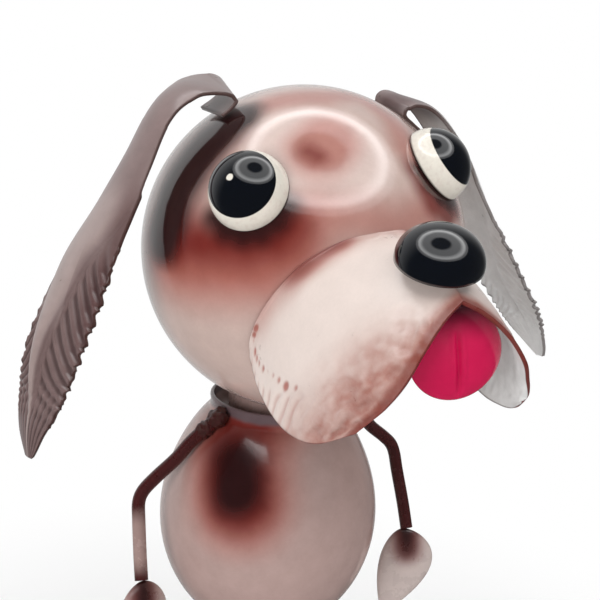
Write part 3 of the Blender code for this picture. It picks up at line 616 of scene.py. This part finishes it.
def muzzle_surface(sizes):
    """Outer face of the folded muzzle sheet, with its dimples, flutes and hammer marks."""
    face = sizes.head_radius / (55.0 * MM)
    ball = sizes.head_radius / MM
    sheet = sizes.sheet / MM

    def plain(u, v):
        side = 1 if v >= 0.5 else -1
        w = abs(2 * v - 1)
        rear_edge, front_edge, hem = RIGHT_FLAP if side < 0 else LEFT_FLAP
        ridge, lower, rear, front = (smooth_point(line, at) for line, at in
                                     ((RIDGE, u), (hem, u), (rear_edge, w), (front_edge, w)))
        ruled = rear * (1 - u) + front * u + ridge * (1 - w) + lower * w
        corners = ((Vector(RIDGE[0]) * (1 - u) + Vector(RIDGE[-1]) * u) * (1 - w)
                   + (Vector(hem[0]) * (1 - u) + Vector(hem[-1]) * u) * w)
        swell = 3.0 * math.sin(math.pi * u) * math.sin(math.pi * w)
        p = (ruled - corners + Vector((0.75, 0.0, 0.45)) * swell) * face
        clear = ball + GAP + 0.1 + sheet * min(1.0, 1.3 * abs(p.x) / ball)
        if p.length < clear:
            p = p.normalized() * clear
        p.x *= side
        return p

    def surface(u, v):
        side = 1 if v >= 0.5 else -1
        w = abs(2 * v - 1)
        p = plain(u, v)
        step = 0.01
        du = plain(min(1.0, u + step), v) - plain(max(0.0, u - step), v)
        dv = plain(u, min(1.0, v + step)) - plain(u, max(0.0, v - step))
        out = du.cross(dv)
        out = out.normalized() if out.length > 1e-9 else Vector((0, 0, 1))
        if out.dot(Vector((side, -0.2, 0.6))) < 0:
            out = -out
        inside = min(u / 0.04, (1 - u) / 0.07, (1 - w) / 0.05, 1.0)
        dimple = bump_at(u, w, DIMPLES, 1.05)
        # Flutes drawn from the row of dimples down to the hem
        below = sheen_step(0.02, 0.09, w - (0.90 - 0.18 * max(0.0, u - 0.2) / 0.4)) * (1 - sheen_step(0.5, 0.72, u))
        flute = math.cos(2 * math.pi * (u * 52.0 + 3.0 * w) / 3.6 + 1.5 * noise.noise(p / 7.0)) * below
        # Hammer marks over the front and lower part
        front = sheen_step(0.46, 0.92, u + 0.30 * (w - 0.55))
        hammered = front * sheen_step(0.05, 0.3, w)
        blow = noise.noise(Vector((u * 52.0, w * 42.0, side * 7.0)) / 4.4) * 0.75
        blow += noise.noise(Vector((u * 52.0, w * 42.0, side * 3.0)) / 2.2) * 0.55
        relief = -0.55 * dimple + 0.38 * flute + (1.35 if side < 0 else 0.35) * hammered * blow
        seam = math.exp(-((u - 0.10) / 0.05) ** 2) * math.exp(-(w / 0.10) ** 2)
        relief += 0.8 * seam * noise.noise(p / 1.3)
        edge = max(sheen_step(0.985, 0.998, w), sheen_step(0.986, 0.998, u), 1 - sheen_step(0.0, 0.012, u))
        rear = (1 - sheen_step(0.0, 0.25 + 0.04 * noise.noise(p / 9.0), u)) * (1 - 0.45 * sheen_step(0.42, 0.60, w))
        rear *= (0.45 + 0.55 * sheen_step(0.08, 0.22, w)) * (1 - 0.6 * sheen_step(0.72, 0.90, w))
        tint = sheen_step(0.40, 0.90, u + 0.30 * (w - 0.55)) * (0.62 + 0.2 * sheen_step(-0.35, 0.25, -blow))
        tint *= 0.4 + 0.6 * sheen_step(0.1, 0.5, w)
        tint = max(tint, sheen_step(0.84 - 0.08 * w, 0.99, u))
        # hollow is the depth of the dimples and flute troughs, which the paint darkens as painted shade
        measured = {"front_tint": tint, "rear_tint": rear,
                    "hollow": max(dimple, 0.45 * below * (0.5 - 0.5 * flute)), "cut_edge": edge}
        return p, out * relief * min(1.0, inside), measured
    return surface


def tongue_surface(sizes):
    """Front face of the tongue: a domed disc with a pressed crease."""
    face = sizes.head_radius / (55.0 * MM)
    middle = Vector((2.5, -89.4, -8.3)) * face
    turn = Matrix.Rotation(math.radians(-12.0), 3, 'Z')

    def surface(u, v):
        a = math.tau * v
        reach = 13.6 + (15.95 - 13.6) * max(0.0, math.sin(a)) ** 5
        x = reach * u * math.cos(a)
        z = reach * u * math.sin(a)
        rise = 5.5 * math.sqrt(max(0.0, 1 - 0.93 * u * u))
        off = x + 0.4 + 0.06 * z
        crease = math.exp(-(off / 0.7) ** 2) * sheen_step(-13.0, -8.0, z) * (1 - sheen_step(5.0, 9.0, z))
        lips = math.exp(-((abs(off) - 1.5) / 0.8) ** 2) * sheen_step(-9.0, -4.0, z) * (1 - sheen_step(5.0, 9.0, z))
        return middle + turn @ Vector((x, -rise, z)), turn @ Vector((0.0, 0.9 * crease - 0.25 * lips, 0.0)), {}
    return surface


def ear_surface(sizes, bend, side):
    """Outer face of one ear: a half-round strip that flattens into a toothed and veined leaf."""
    centres = [Vector(c) for c, _ in bend]
    face = sizes.head_radius / (55.0 * MM)
    teeth = sizes.ear_teeth

    def half_width(s):
        t = min(1.0, max(0.0, (s - 0.28) / 0.40))
        full = 18.6 + (28.0 - 18.6) * t * t * (3 - 2 * t)
        if s > 0.75:
            full *= math.cos(0.5 * math.pi * (s - 0.75) / 0.265) ** 0.8
        return 0.5 * full

    def tooth_phase(s, start):
        return (s - start) / (1 - start) * teeth

    def surface(u, v):
        p = smooth_point(centres, u)
        ahead = smooth_point(centres, min(1.0, u + 0.01)) - smooth_point(centres, max(0.0, u - 0.01))
        nearest = min(range(len(bend) - 1), key=lambda i: (centres[i] - p).length + (centres[i + 1] - p).length)
        a, b = centres[nearest], centres[nearest + 1]
        t = min(1.0, max(0.0, (p - a).dot(b - a) / (b - a).length_squared))
        wide = Vector(bend[nearest][1]).lerp(Vector(bend[nearest + 1][1]), t)
        ahead.normalize()
        wide = (wide - ahead * wide.dot(ahead)).normalized()
        out = wide.cross(ahead).normalized() * -side
        half = half_width(u)
        q = 2 * v - 1
        start = 0.52 if q < 0 else 0.68
        leaf = sheen_step(start - 0.05, start + 0.10, u)
        rib = 9.3 * (1 - sheen_step(0.42, 0.95, u)) + 0.8
        # The raised strip keeps to the rear edge until the leaf is widest
        off = abs(q * half - 0.38 * half * sheen_step(0.44, 0.60, u) * (1 - sheen_step(0.72, 0.94, u)))
        domed = math.sqrt(max(0.0, 1 - min(1.0, off / rib) ** 2)) if off < rib else 0.0
        height = (1.7 + 1.6 * sheen_step(0.12, 0.3, u)) * (1 - sheen_step(0.80, 0.92, u))
        arch = 1.7 * (1 - q * q) * min(1.0, half / 9.0) * min(1.0, max(0.0, 9.0 * u - 0.9))
        crown = arch + (height * domed - 0.6 * arch * 0) * sheen_step(0.08, 0.2, u) * 0.8
        blade = leaf * sheen_step(rib, rib + 2.0, off)
        # Veins run from the rib down and out to a tooth each; towards the tip they fan
        fan = sheen_step(0.80, 0.95, u)
        slope = (1.5 if q < 0 else 3.2) * (1 - fan) + 0.0 * fan
        phase = tooth_phase(u, start) - slope * off / 9.0
        wave = 0.5 + 0.5 * math.cos(math.tau * phase)
        fan_wave = 0.5 + 0.5 * math.cos(math.tau * q * 4.5)
        vein = wave * (1 - fan) + fan_wave * fan
        veined = max(blade, fan * leaf)
        bite = 0.0
        if abs(q) > 0.6 and 0.985 > u > start:
            part = tooth_phase(u, start) % 1.0
            rise = math.sin(0.5 * math.pi * part / 0.72) if part < 0.72 else math.cos(0.5 * math.pi * (part - 0.72) / 0.28)
            bite = (2.6 if q < 0 else 1.2) * (rise - 0.6) * sheen_step(0.6, 1.0, abs(q)) * leaf * (1 - sheen_step(0.86, 0.95, u))
        edge = sheen_step(0.93, 0.995, abs(q))
        edge = max(edge, 1 - sheen_step(0.0, 0.012, u))
        p.z -= 0.12
        point = p * face + wide * (q * half + math.copysign(bite, q)) + out * 0.9 * crown
        relief = out * 0.9 * (vein - 0.5) * veined * (1 - sheen_step(0.85, 0.95, u))
        along = sheen_step(0.30, 0.50, u)
        # hollow carries painted shade in the vein troughs, the crest measure a painted highlight on the rib,
        # front_edge painted shade along the front
        return point, relief, {"hollow": (1 - vein) * veined, "leaf": leaf, "cut_edge": edge, "crest_highlight": domed * along,
                               "front_edge": sheen_step(0.1, 1.0, -q) * along * (1 - sheen_step(0.62, 0.85, u))}
    return surface


def body_radius(sizes, down):
    """Radius of the body at a distance in millimetres below the lip."""
    t = min(1.0, max(0.0, (down - 5.4) / (46.0 - 5.4)))
    neck, full = sizes.neck_radius / MM, sizes.body_radius / MM
    return neck + (full - neck) * math.sin(0.5 * math.pi * t) ** 0.75


def bent_bar(name, points, radius, paint, place_points=60):
    """Bent round bar with closed ends."""
    curve = bpy.data.curves.new(name, 'CURVE')
    curve.dimensions = '3D'
    curve.bevel_depth = radius
    curve.bevel_resolution = 6
    curve.use_fill_caps = True
    spline = curve.splines.new('POLY')
    spline.points.add(place_points - 1)
    for i in range(place_points):
        spline.points[i].co = (*(smooth_point(points, i / (place_points - 1)) * MM), 1.0)
    spline.use_smooth = True
    return dress(name, curve, paint, [name])


def drop(name, tip, toe, width, depth, facing, swell, blunt, paint, back=1.0, bend=(0.0, 0.0, 0.0)):
    """Pressed paw: swell sets its widest place, blunt rounds its ends, bend pushes its middle sideways."""
    tip, toe, facing = Vector(tip), Vector(toe), Vector(facing)
    run = toe - tip
    reach = run.length
    run.normalize()
    facing = (facing - run * facing.dot(run)).normalized()
    across = run.cross(facing)
    bm = bmesh.new()
    bmesh.ops.create_uvsphere(bm, u_segments=64, v_segments=56, radius=1.0)
    for v in bm.verts:
        s = 0.5 - 0.5 * v.co.z
        ring = math.hypot(v.co.x, v.co.y)
        full = math.sin(math.pi * min(1.0, max(0.0, s)) ** swell) ** blunt if ring > 1e-6 else 0.0
        side = v.co.x / ring if ring > 1e-6 else 0.0
        lift = v.co.y / ring if ring > 1e-6 else 0.0
        if lift < 0:
            lift *= back
        bow = Vector(bend) * math.sin(math.pi * min(1.0, max(0.0, s)) ** 0.6)
        v.co = tip + run * reach * s + bow + across * 0.5 * width * full * side + facing * depth * full * lift
    return dress(name, mesh_from(bm, name), paint, [name])


def bead(name, row, size, paint):
    """Weld: a row of overlapping lumps that follow the joint, in millimetres."""
    bm = bmesh.new()
    for index, spot in enumerate(row):
        grown = bmesh.ops.create_uvsphere(bm, u_segments=24, v_segments=16, radius=1.0)['verts']
        swing = noise.noise(Vector(spot) * 0.37 + Vector((index * 1.7, 0, 0)))
        for v in grown:
            lump = 1 + 0.45 * noise.noise(v.co * 1.6 + Vector(spot))
            v.co = Vector(spot) + v.co * size * (1 + 0.35 * swing) * lump
    return dress(name, mesh_from(bm, name), paint)


# ---------------------------------------------------------------- operators


def settings(context):
    """Sizes and paints of the scene."""
    return context.scene.dog_sizes, context.scene.dog_paints


class DOG_OT_head(bpy.types.Operator):
    """Head ball with its airbrushed enamel"""
    bl_idname = "dog.head"
    bl_label = "Head ball"

    def execute(self, context):
        sizes, paints = settings(context)
        bm = bmesh.new()
        bmesh.ops.create_uvsphere(bm, u_segments=160, v_segments=96, radius=sizes.head_radius / MM)
        place = head_place(sizes)
        settle(dress("head_ball", mesh_from(bm, "head_ball"), head_enamel(paints, place), ["head"]),
               place)
        return {'FINISHED'}


class DOG_OT_eyes(bpy.types.Operator):
    """Two dome eyes, black over white"""
    bl_idname = "dog.eyes"
    bl_label = "Eyes"

    def execute(self, context):
        sizes, paints = settings(context)
        r = sizes.dome_radius / MM
        seat = sizes.head_radius / MM + GAP
        floor = math.sqrt(seat ** 2 - r ** 2)
        hollow = [(r * f, math.sqrt(seat ** 2 - (r * f) ** 2) - floor) for f in (0.8, 0.6, 0.4, 0.2, 0.0)]
        for side, name, dab in ((-1, "eye_right", (-1.8, 0.2, 11.8)), (1, "eye_left", None)):
            place = eye_place(sizes, side)
            turned(name + "_dome", dome(r, sizes.eye_rise / MM) + hollow, 96,
                   eye_enamel(paints, sizes.eye_rise, dab, place), [name], place)
        return {'FINISHED'}


class DOG_OT_muzzle(bpy.types.Operator):
    """Folded muzzle sheet with dimples, flutes and hammer marks"""
    bl_idname = "dog.muzzle"
    bl_label = "Muzzle"

    def execute(self, context):
        sizes, paints = settings(context)
        mesh = pressed("muzzle_sheet", muzzle_surface(sizes), 110, 210,
                       ("front_tint", "rear_tint", "hollow", "cut_edge"))
        place = head_place(sizes)
        obj = dress("muzzle_sheet", mesh, muzzle_enamel(paints, place), ["muzzle"])
        mesh.materials.append(lining_enamel(paints, place))
        thicken(obj, sizes.sheet, place, lining=1)
        return {'FINISHED'}


class DOG_OT_nose(bpy.types.Operator):
    """Black dome nose on the front of the ridge"""
    bl_idname = "dog.nose"
    bl_label = "Nose"

    def execute(self, context):
        sizes, paints = settings(context)
        face = sizes.head_radius / 55.0
        place = (head_place(sizes) @ Matrix.Translation(Vector((0.0, -85.8, 16.9)) * face)
                 @ Matrix.Rotation(math.radians(17.0), 4, 'X'))
        turned("nose_dome", dome(sizes.dome_radius / MM, sizes.nose_rise / MM, 1.0) + [(0.0, 0.0)], 96,
               black_enamel(paints, place), ["nose"], place)
        return {'FINISHED'}


class DOG_OT_tongue(bpy.types.Operator):
    """Domed tongue with a pressed crease"""
    bl_idname = "dog.tongue"
    bl_label = "Tongue"

    def execute(self, context):
        sizes, paints = settings(context)
        mesh = pressed("tongue_disc", tongue_surface(sizes), 48, 160, (), closed=True)
        place = head_place(sizes)
        obj = dress("tongue_disc", mesh, tongue_enamel(paints, place), ["tongue"])
        thicken(obj, sizes.sheet, place)
        return {'FINISHED'}


class DOG_OT_ears(bpy.types.Operator):
    """Two hooked leaf ears with teeth and veins"""
    bl_idname = "dog.ears"
    bl_label = "Ears"

    def execute(self, context):
        sizes, paints = settings(context)
        place = head_place(sizes)
        paint = ear_enamel(paints, place)
        for side, name, bend in ((-1, "ear_right", EAR_RIGHT), (1, "ear_left", EAR_LEFT)):
            mesh = pressed(name + "_leaf", ear_surface(sizes, bend, side), 300, 60,
                           ("hollow", "leaf", "cut_edge", "crest_highlight", "front_edge"), flip=side < 0)
            obj = dress(name + "_leaf", mesh, paint, [name])
            thicken(obj, sizes.sheet, place)
        return {'FINISHED'}


class DOG_OT_body(bpy.types.Operator):
    """Egg body with its bottle neck, and the collar that carries the head"""
    bl_idname = "dog.body"
    bl_label = "Body and collar"

    def execute(self, context):
        sizes, paints = settings(context)
        neck, full = sizes.neck_radius / MM, sizes.body_radius / MM
        lip = [(0.0, -7.0), (neck - 1.1, -7.0), (neck - 1.1, -0.4), (neck - 0.85, -0.12), (neck - 0.5, 0.0),
               (neck - 0.05, -0.12), (neck + 0.25, -0.5), (neck + 0.32, -1.1), (neck + 0.2, -1.8), (neck, -3.2)]
        shoulder = [(body_radius(sizes, d), -d) for d in [5.4 + 40.6 * (k / 24) ** 1.6 for k in range(1, 24)]]
        belly = [(full * math.cos(0.5 * math.pi * i / 24), -46.0 - 46.0 * math.sin(0.5 * math.pi * i / 24))
                 for i in range(24)]
        rise = sizes.lip_height / MM
        place = Matrix.Translation((0.0, 0.0, sizes.lip_height)) @ Matrix.Rotation(math.radians(0.8), 4, 'Y')
        turned("body_egg", lip + shoulder + belly + [(0.0, -92.0)], 128, body_enamel(paints, rise, place),
               ["body"], place)
        collar = bpy.data.objects["neck_collar"]
        collar.data.materials.clear()
        collar.data.materials.append(limb_enamel(paints, [(0.0, 0.0, rise)], 60.0))
        return {'FINISHED'}


class DOG_OT_arms(bpy.types.Operator):
    """Bent bar arms with pressed paws"""
    bl_idname = "dog.arms"
    bl_label = "Arms and paws"

    def execute(self, context):
        sizes, paints = settings(context)
        lip = sizes.lip_height / MM
        rod, full = sizes.bar_radius / MM, sizes.body_radius / MM
        for side, tag in ((-1, "right"), (1, "left")):
            path = []
            for turn, down, room in SHOULDER:
                r = body_radius(sizes, down) + (rod + GAP) * room
                a = math.radians(turn)
                path.append(Vector((side * r * math.cos(a), -r * math.sin(a), lip - down)))
            path += [Vector((side * (full + x * full / 40.5), -y * full / 40.5, lip - down)) for x, y, down in REACH]
            if side > 0:
                for p, up in zip(path, LEFT_RAISE):
                    p.z += up
                path[0].z = lip - SHOULDER[0][1]
            pale = [path[-2] * 0.45 + path[-3] * 0.55, path[-2] * 0.85 + path[-3] * 0.15]
            if side > 0:
                pale = [path[-1] + Vector((0.0, 40.0, 0.0))]
            bent_bar("arm_" + tag, path, sizes.bar_radius, limb_enamel(paints, pale, 11.0))
            down = Vector((PAW_SWING[tag], -0.06, -0.99)).normalized()
            start = path[-1] + down * (GAP + 0.1)
            drop("paw_" + tag, start, start + down * 35.0, 20.5, 4.0, (-side * 0.35, -0.93, 0.05), 0.72, 0.8,
                 paw_enamel(paints, [tuple(start), tuple(start + down * 6.0 + Vector((0.0, -4.0, 0.0)))], 10.5), bend=(PAW_BEND[tag], 0.0, 0.0))
            bead("weld_shoulder_" + tag, [path[0] + (path[1] - path[0]) * k for k in (-0.1, 0.2, 0.85, 1.15)],
                 2.9, weld_enamel(paints))
        return {'FINISHED'}


class DOG_OT_legs(bpy.types.Operator):
    """Plain bar legs, pressed feet and the round base plate"""
    bl_idname = "dog.legs"
    bl_label = "Legs, feet and base"

    def execute(self, context):
        sizes, paints = settings(context)
        rod = sizes.bar_radius / MM
        foot_floor = sizes.base_thickness / MM + GAP + 0.12 * 10.0
        ankle = foot_floor + 10.0 * math.sin(math.pi * (0.26 + rod / 46.0) ** 1.2) ** 0.5 + GAP + 0.1
        for side, tag in ((-1, "right"), (1, "left")):
            limb = sizes.body_radius / (40.5 * MM)
            hip = Vector((side * 17.0 * limb, 0.0, -46.0 - 46.0 * math.sqrt(1 - (17.0 / 40.5) ** 2)))
            out = Vector((hip.x / (sizes.body_radius / MM) ** 2, 0.0, (hip.z + 46.0) / 46.0 ** 2)).normalized()
            swing = Matrix.Rotation(math.radians(0.8), 3, 'Y')
            hip = swing @ hip + Vector((0.0, 0.0, sizes.lip_height / MM))
            out = swing @ out
            fall = hip.z - ankle
            knee = [Vector((side * (17.0 + x) * limb, -y * limb, ankle + fall * share)) for x, y, share in
                    ((7.0, 2.5, 0.62), (8.0, 4.5, 0.43), (8.5, 2.0, 0.2))]
            foot_top = Vector((side * 26.0 * limb, 0.0, ankle))
            bent_bar("leg_" + tag, [hip + out * (GAP + 0.1), hip + out * 7.0] + knee + [foot_top],
                     sizes.bar_radius, limb_enamel(paints, [tuple(knee[1])], 14.0))
            heel = Vector((side * 24.5 * limb, 0.26 * 46.0, foot_floor))
            drop("foot_" + tag, heel, heel + Vector((side * 6.0, -46.0, 0.0)), 25.0, 10.0, (0, 0, 1), 1.2, 0.5,
                 paw_enamel(paints, [tuple(foot_top)], 14.0), back=0.12)
            bead("weld_hip_" + tag, [hip + out * 0.8 + Vector((rod * math.cos(a), rod * math.sin(a), 0)) * 0.8
                                     for a in (0.4, 1.9, 3.4, 5.0)], 1.7, weld_enamel(paints))
        plate = bpy.data.objects["base"]
        plate.data.materials.clear()
        plate.data.materials.append(plate_enamel(paints))
        return {'FINISHED'}


class DOG_OT_stage(bpy.types.Operator):
    """Pale floor, white surround, soft lights and the camera"""
    bl_idname = "dog.stage"
    bl_label = "Stage"

    def execute(self, context):
        sizes, _ = settings(context)
        self.floor()
        self.surround()
        self.overhead(sizes)
        self.lamps()
        self.camera(sizes)
        context.scene.view_settings.view_transform = 'Standard'
        return {'FINISHED'}

    def stand(self, name, bm, mat):
        mesh = bpy.data.meshes.new(name)
        bm.to_mesh(mesh)
        bm.free()
        mesh.shade_smooth()
        obj = bpy.data.objects.new(name, mesh)
        mesh.materials.append(mat)
        bpy.context.scene.collection.objects.link(obj)
        return obj

    def floor(self):
        """Matt white board, lit evenly from below beyond the figure so that it runs into the tent."""
        mat = bpy.data.materials.new("matt white board")
        mat.use_nodes = True
        tree = mat.node_tree
        tree.nodes.clear()
        spot = add_node(tree, 'ShaderNodeTexCoord').outputs['Object']
        out = add_node(tree, 'ShaderNodeVectorMath', {0: spot}, operation='LENGTH').outputs['Value']
        far = add_node(tree, 'ShaderNodeMapRange', {'Value': out, 'From Min': 0.10, 'From Max': 0.30},
                       interpolation_type='SMOOTHSTEP').outputs[0]
        board = add_node(tree, 'ShaderNodeBsdfPrincipled', {'Base Color': (0.9, 0.9, 0.9, 1.0), 'Roughness': 0.9})
        glow = add_node(tree, 'ShaderNodeEmission', {'Color': (1.0, 1.0, 1.0, 1.0), 'Strength': 1.0})
        mixed = add_node(tree, 'ShaderNodeMixShader', {0: far, 1: board.outputs[0], 2: glow.outputs[0]})
        add_node(tree, 'ShaderNodeOutputMaterial', {0: mixed.outputs[0]})
        bm = bmesh.new()
        bmesh.ops.create_circle(bm, cap_ends=True, segments=96, radius=2.5)
        plate = self.stand("floor_board", bm, mat)
        plate.location.z = -0.0002
        plate.visible_glossy = False

    def surround(self):
        """White tent seen behind the figure, and the light that comes in through it."""
        mat = bpy.data.materials.new("white tent cloth")
        mat.use_nodes = True
        tree = mat.node_tree
        tree.nodes.clear()
        glow = add_node(tree, 'ShaderNodeEmission', {'Color': (1.0, 1.0, 1.0, 1.0), 'Strength': 1.0})
        add_node(tree, 'ShaderNodeOutputMaterial', {0: glow.outputs[0]})
        bm = bmesh.new()
        bmesh.ops.create_uvsphere(bm, u_segments=64, v_segments=32, radius=2.6)
        tent = self.stand("tent", bm, mat)
        tent.visible_glossy = False
        tent.visible_diffuse = False
        tent.visible_shadow = False
        world = bpy.data.worlds.new("studio")
        bpy.context.scene.world = world
        world.use_nodes = True
        tree = world.node_tree
        tree.nodes.clear()
        # Brighter behind the figure, dim in front, so that gloss stays deep and rims stay light
        coords = add_node(tree, 'ShaderNodeTexCoord')
        back = add_node(tree, 'ShaderNodeVectorMath', {0: coords.outputs['Generated'], 1: (0.0, 0.9, 0.25)},
                        operation='DOT_PRODUCT').outputs['Value']
        shade = add_node(tree, 'ShaderNodeMapRange', {'Value': back, 'From Min': 0.15, 'From Max': 0.95,
                                                      'To Min': 0.08, 'To Max': 0.7},
                         interpolation_type='SMOOTHSTEP').outputs[0]
        sky = add_node(tree, 'ShaderNodeBackground', {'Color': (1.0, 1.0, 1.0, 1.0), 'Strength': shade})
        add_node(tree, 'ShaderNodeOutputWorld', {0: sky.outputs[0]})

    def overhead(self, sizes):
        """Round overhead diffuser: dim at its middle and brightest towards its rim."""
        mat = bpy.data.materials.new("ring diffuser")
        mat.use_nodes = True
        tree = mat.node_tree
        tree.nodes.clear()
        coords = add_node(tree, 'ShaderNodeTexCoord')
        out = add_node(tree, 'ShaderNodeVectorMath', {0: coords.outputs['Object']}, operation='LENGTH')
        ramp = add_node(tree, 'ShaderNodeValToRGB', {0: out.outputs['Value']})
        stops = ((0.0, 0.03), (0.17, 0.03), (0.23, 0.34), (0.40, 0.34), (0.50, 0.90), (0.54, 1.0), (0.62, 0.28))
        while len(ramp.color_ramp.elements) < len(stops):
            ramp.color_ramp.elements.new(0.5)
        for stop, (position, level) in zip(ramp.color_ramp.elements, stops):
            stop.position = position
            stop.color = (level, level, level, 1.0)
        power = add_node(tree, 'ShaderNodeMath', {0: ramp.outputs[0], 1: 4.8}, operation='MULTIPLY')
        glow = add_node(tree, 'ShaderNodeEmission', {'Strength': power.outputs[0]})
        add_node(tree, 'ShaderNodeOutputMaterial', {0: glow.outputs[0]})
        bm = bmesh.new()
        bmesh.ops.create_circle(bm, cap_ends=True, segments=96, radius=0.70)
        panel = self.stand("ring_diffuser", bm, mat)
        towards = Vector((-0.006, -0.21, 0.97)).normalized()
        panel.matrix_world = (Matrix.Translation(Vector((0.0, -sizes.head_forward, sizes.head_height)) + towards * 0.7)
                              @ towards.to_track_quat('Z', 'Y').to_matrix().to_4x4())
        panel.visible_camera = False

    def lamps(self):
        """Large soft lamps in front, kept out of the gloss."""
        for name, place, size, power, shiny in (
                ("front_left", (-1.2, -0.6, 0.30), 0.9, 12.0, False),
                ("front_right", (0.9, -1.0, 0.5), 0.9, 3.5, False),
                ("low_fill", (0.0, -1.2, 0.05), 0.8, 3.0, False)):
            lamp = bpy.data.lights.new(name, 'AREA')
            lamp.shape = 'DISK'
            lamp.size = size
            lamp.energy = power
            obj = bpy.data.objects.new(name, lamp)
            bpy.context.scene.collection.objects.link(obj)
            aim = Vector((0.0, 0.0, 0.18)) - Vector(place)
            obj.matrix_world = Matrix.Translation(place) @ aim.to_track_quat('-Z', 'Y').to_matrix().to_4x4()
            obj.visible_glossy = shiny

    def camera(self, sizes):
        """Camera at the photograph's place: 25 degrees to the dog's right, a little above, 376 mm away."""
        az, el, roll = (math.radians(a) for a in (-25.0, 12.0, 3.6))
        focal = 1100.0
        back = Vector((math.sin(az) * math.cos(el), -math.cos(az) * math.cos(el), math.sin(el)))
        spot = Vector((0.0, -sizes.head_forward, sizes.head_height)) + back * 6.836 * 0.055
        ahead = -back
        right = ahead.cross(Vector((0, 0, 1))).normalized()
        up = right.cross(ahead)
        turned_right = right * math.cos(roll) + up * math.sin(roll)
        turned_up = up * math.cos(roll) - right * math.sin(roll)
        rows = Matrix((turned_right, turned_up, ahead))
        seen = Vector((303.8 - 300.0, 300.0 - 248.4, focal)).normalized()
        pan = Vector((0, 0, 1)).rotation_difference(seen).to_matrix()
        rows = pan @ rows
        pose = Matrix((rows[0], rows[1], -rows[2])).transposed().to_4x4()
        camera = bpy.data.cameras.new("photo_camera")
        camera.sensor_width = 36.0
        camera.lens = 36.0 * focal / 600.0
        camera.clip_start = 0.01
        obj = bpy.data.objects.new("photo_camera", camera)
        bpy.context.scene.collection.objects.link(obj)
        obj.matrix_world = Matrix.Translation(spot) @ pose
        bpy.context.scene.camera = obj


STEPS = (DOG_OT_stage, DOG_OT_head, DOG_OT_eyes, DOG_OT_muzzle, DOG_OT_nose, DOG_OT_tongue, DOG_OT_ears,
         DOG_OT_body, DOG_OT_arms, DOG_OT_legs)


class DOG_PT_panel(bpy.types.Panel):
    """Sizes, paints and building steps of the metal dog"""
    bl_label = "Metal dog"
    bl_idname = "DOG_PT_panel"
    bl_space_type = 'VIEW_3D'
    bl_region_type = 'UI'
    bl_category = "Metal dog"

    def draw(self, context):
        sizes, paints = settings(context)
        for group in (sizes, paints):
            column = self.layout.column(align=True)
            for key in group.__annotations__:
                column.prop(group, key)
        column = self.layout.column(align=True)
        for step in STEPS:
            column.operator(step.bl_idname)


CLASSES = (DogSizes, DogPaints) + STEPS + (DOG_PT_panel,)


def register():
    """Registers the classes and hangs the settings on the scene."""
    for cls in CLASSES:
        bpy.utils.register_class(cls)
    bpy.types.Scene.dog_sizes = PointerProperty(type=DogSizes)
    bpy.types.Scene.dog_paints = PointerProperty(type=DogPaints)


def unregister():
    """Takes the settings off the scene and unregisters the classes."""
    del bpy.types.Scene.dog_paints
    del bpy.types.Scene.dog_sizes
    for cls in reversed(CLASSES):
        bpy.utils.unregister_class(cls)


def main():
    """Builds the figure and its stage."""
    register()
    for step in STEPS:
        group, operator = step.bl_idname.split(".")
        getattr(getattr(bpy.ops, group), operator)()
    bpy.context.view_layer.update()


if __name__ == "__main__":
    main()
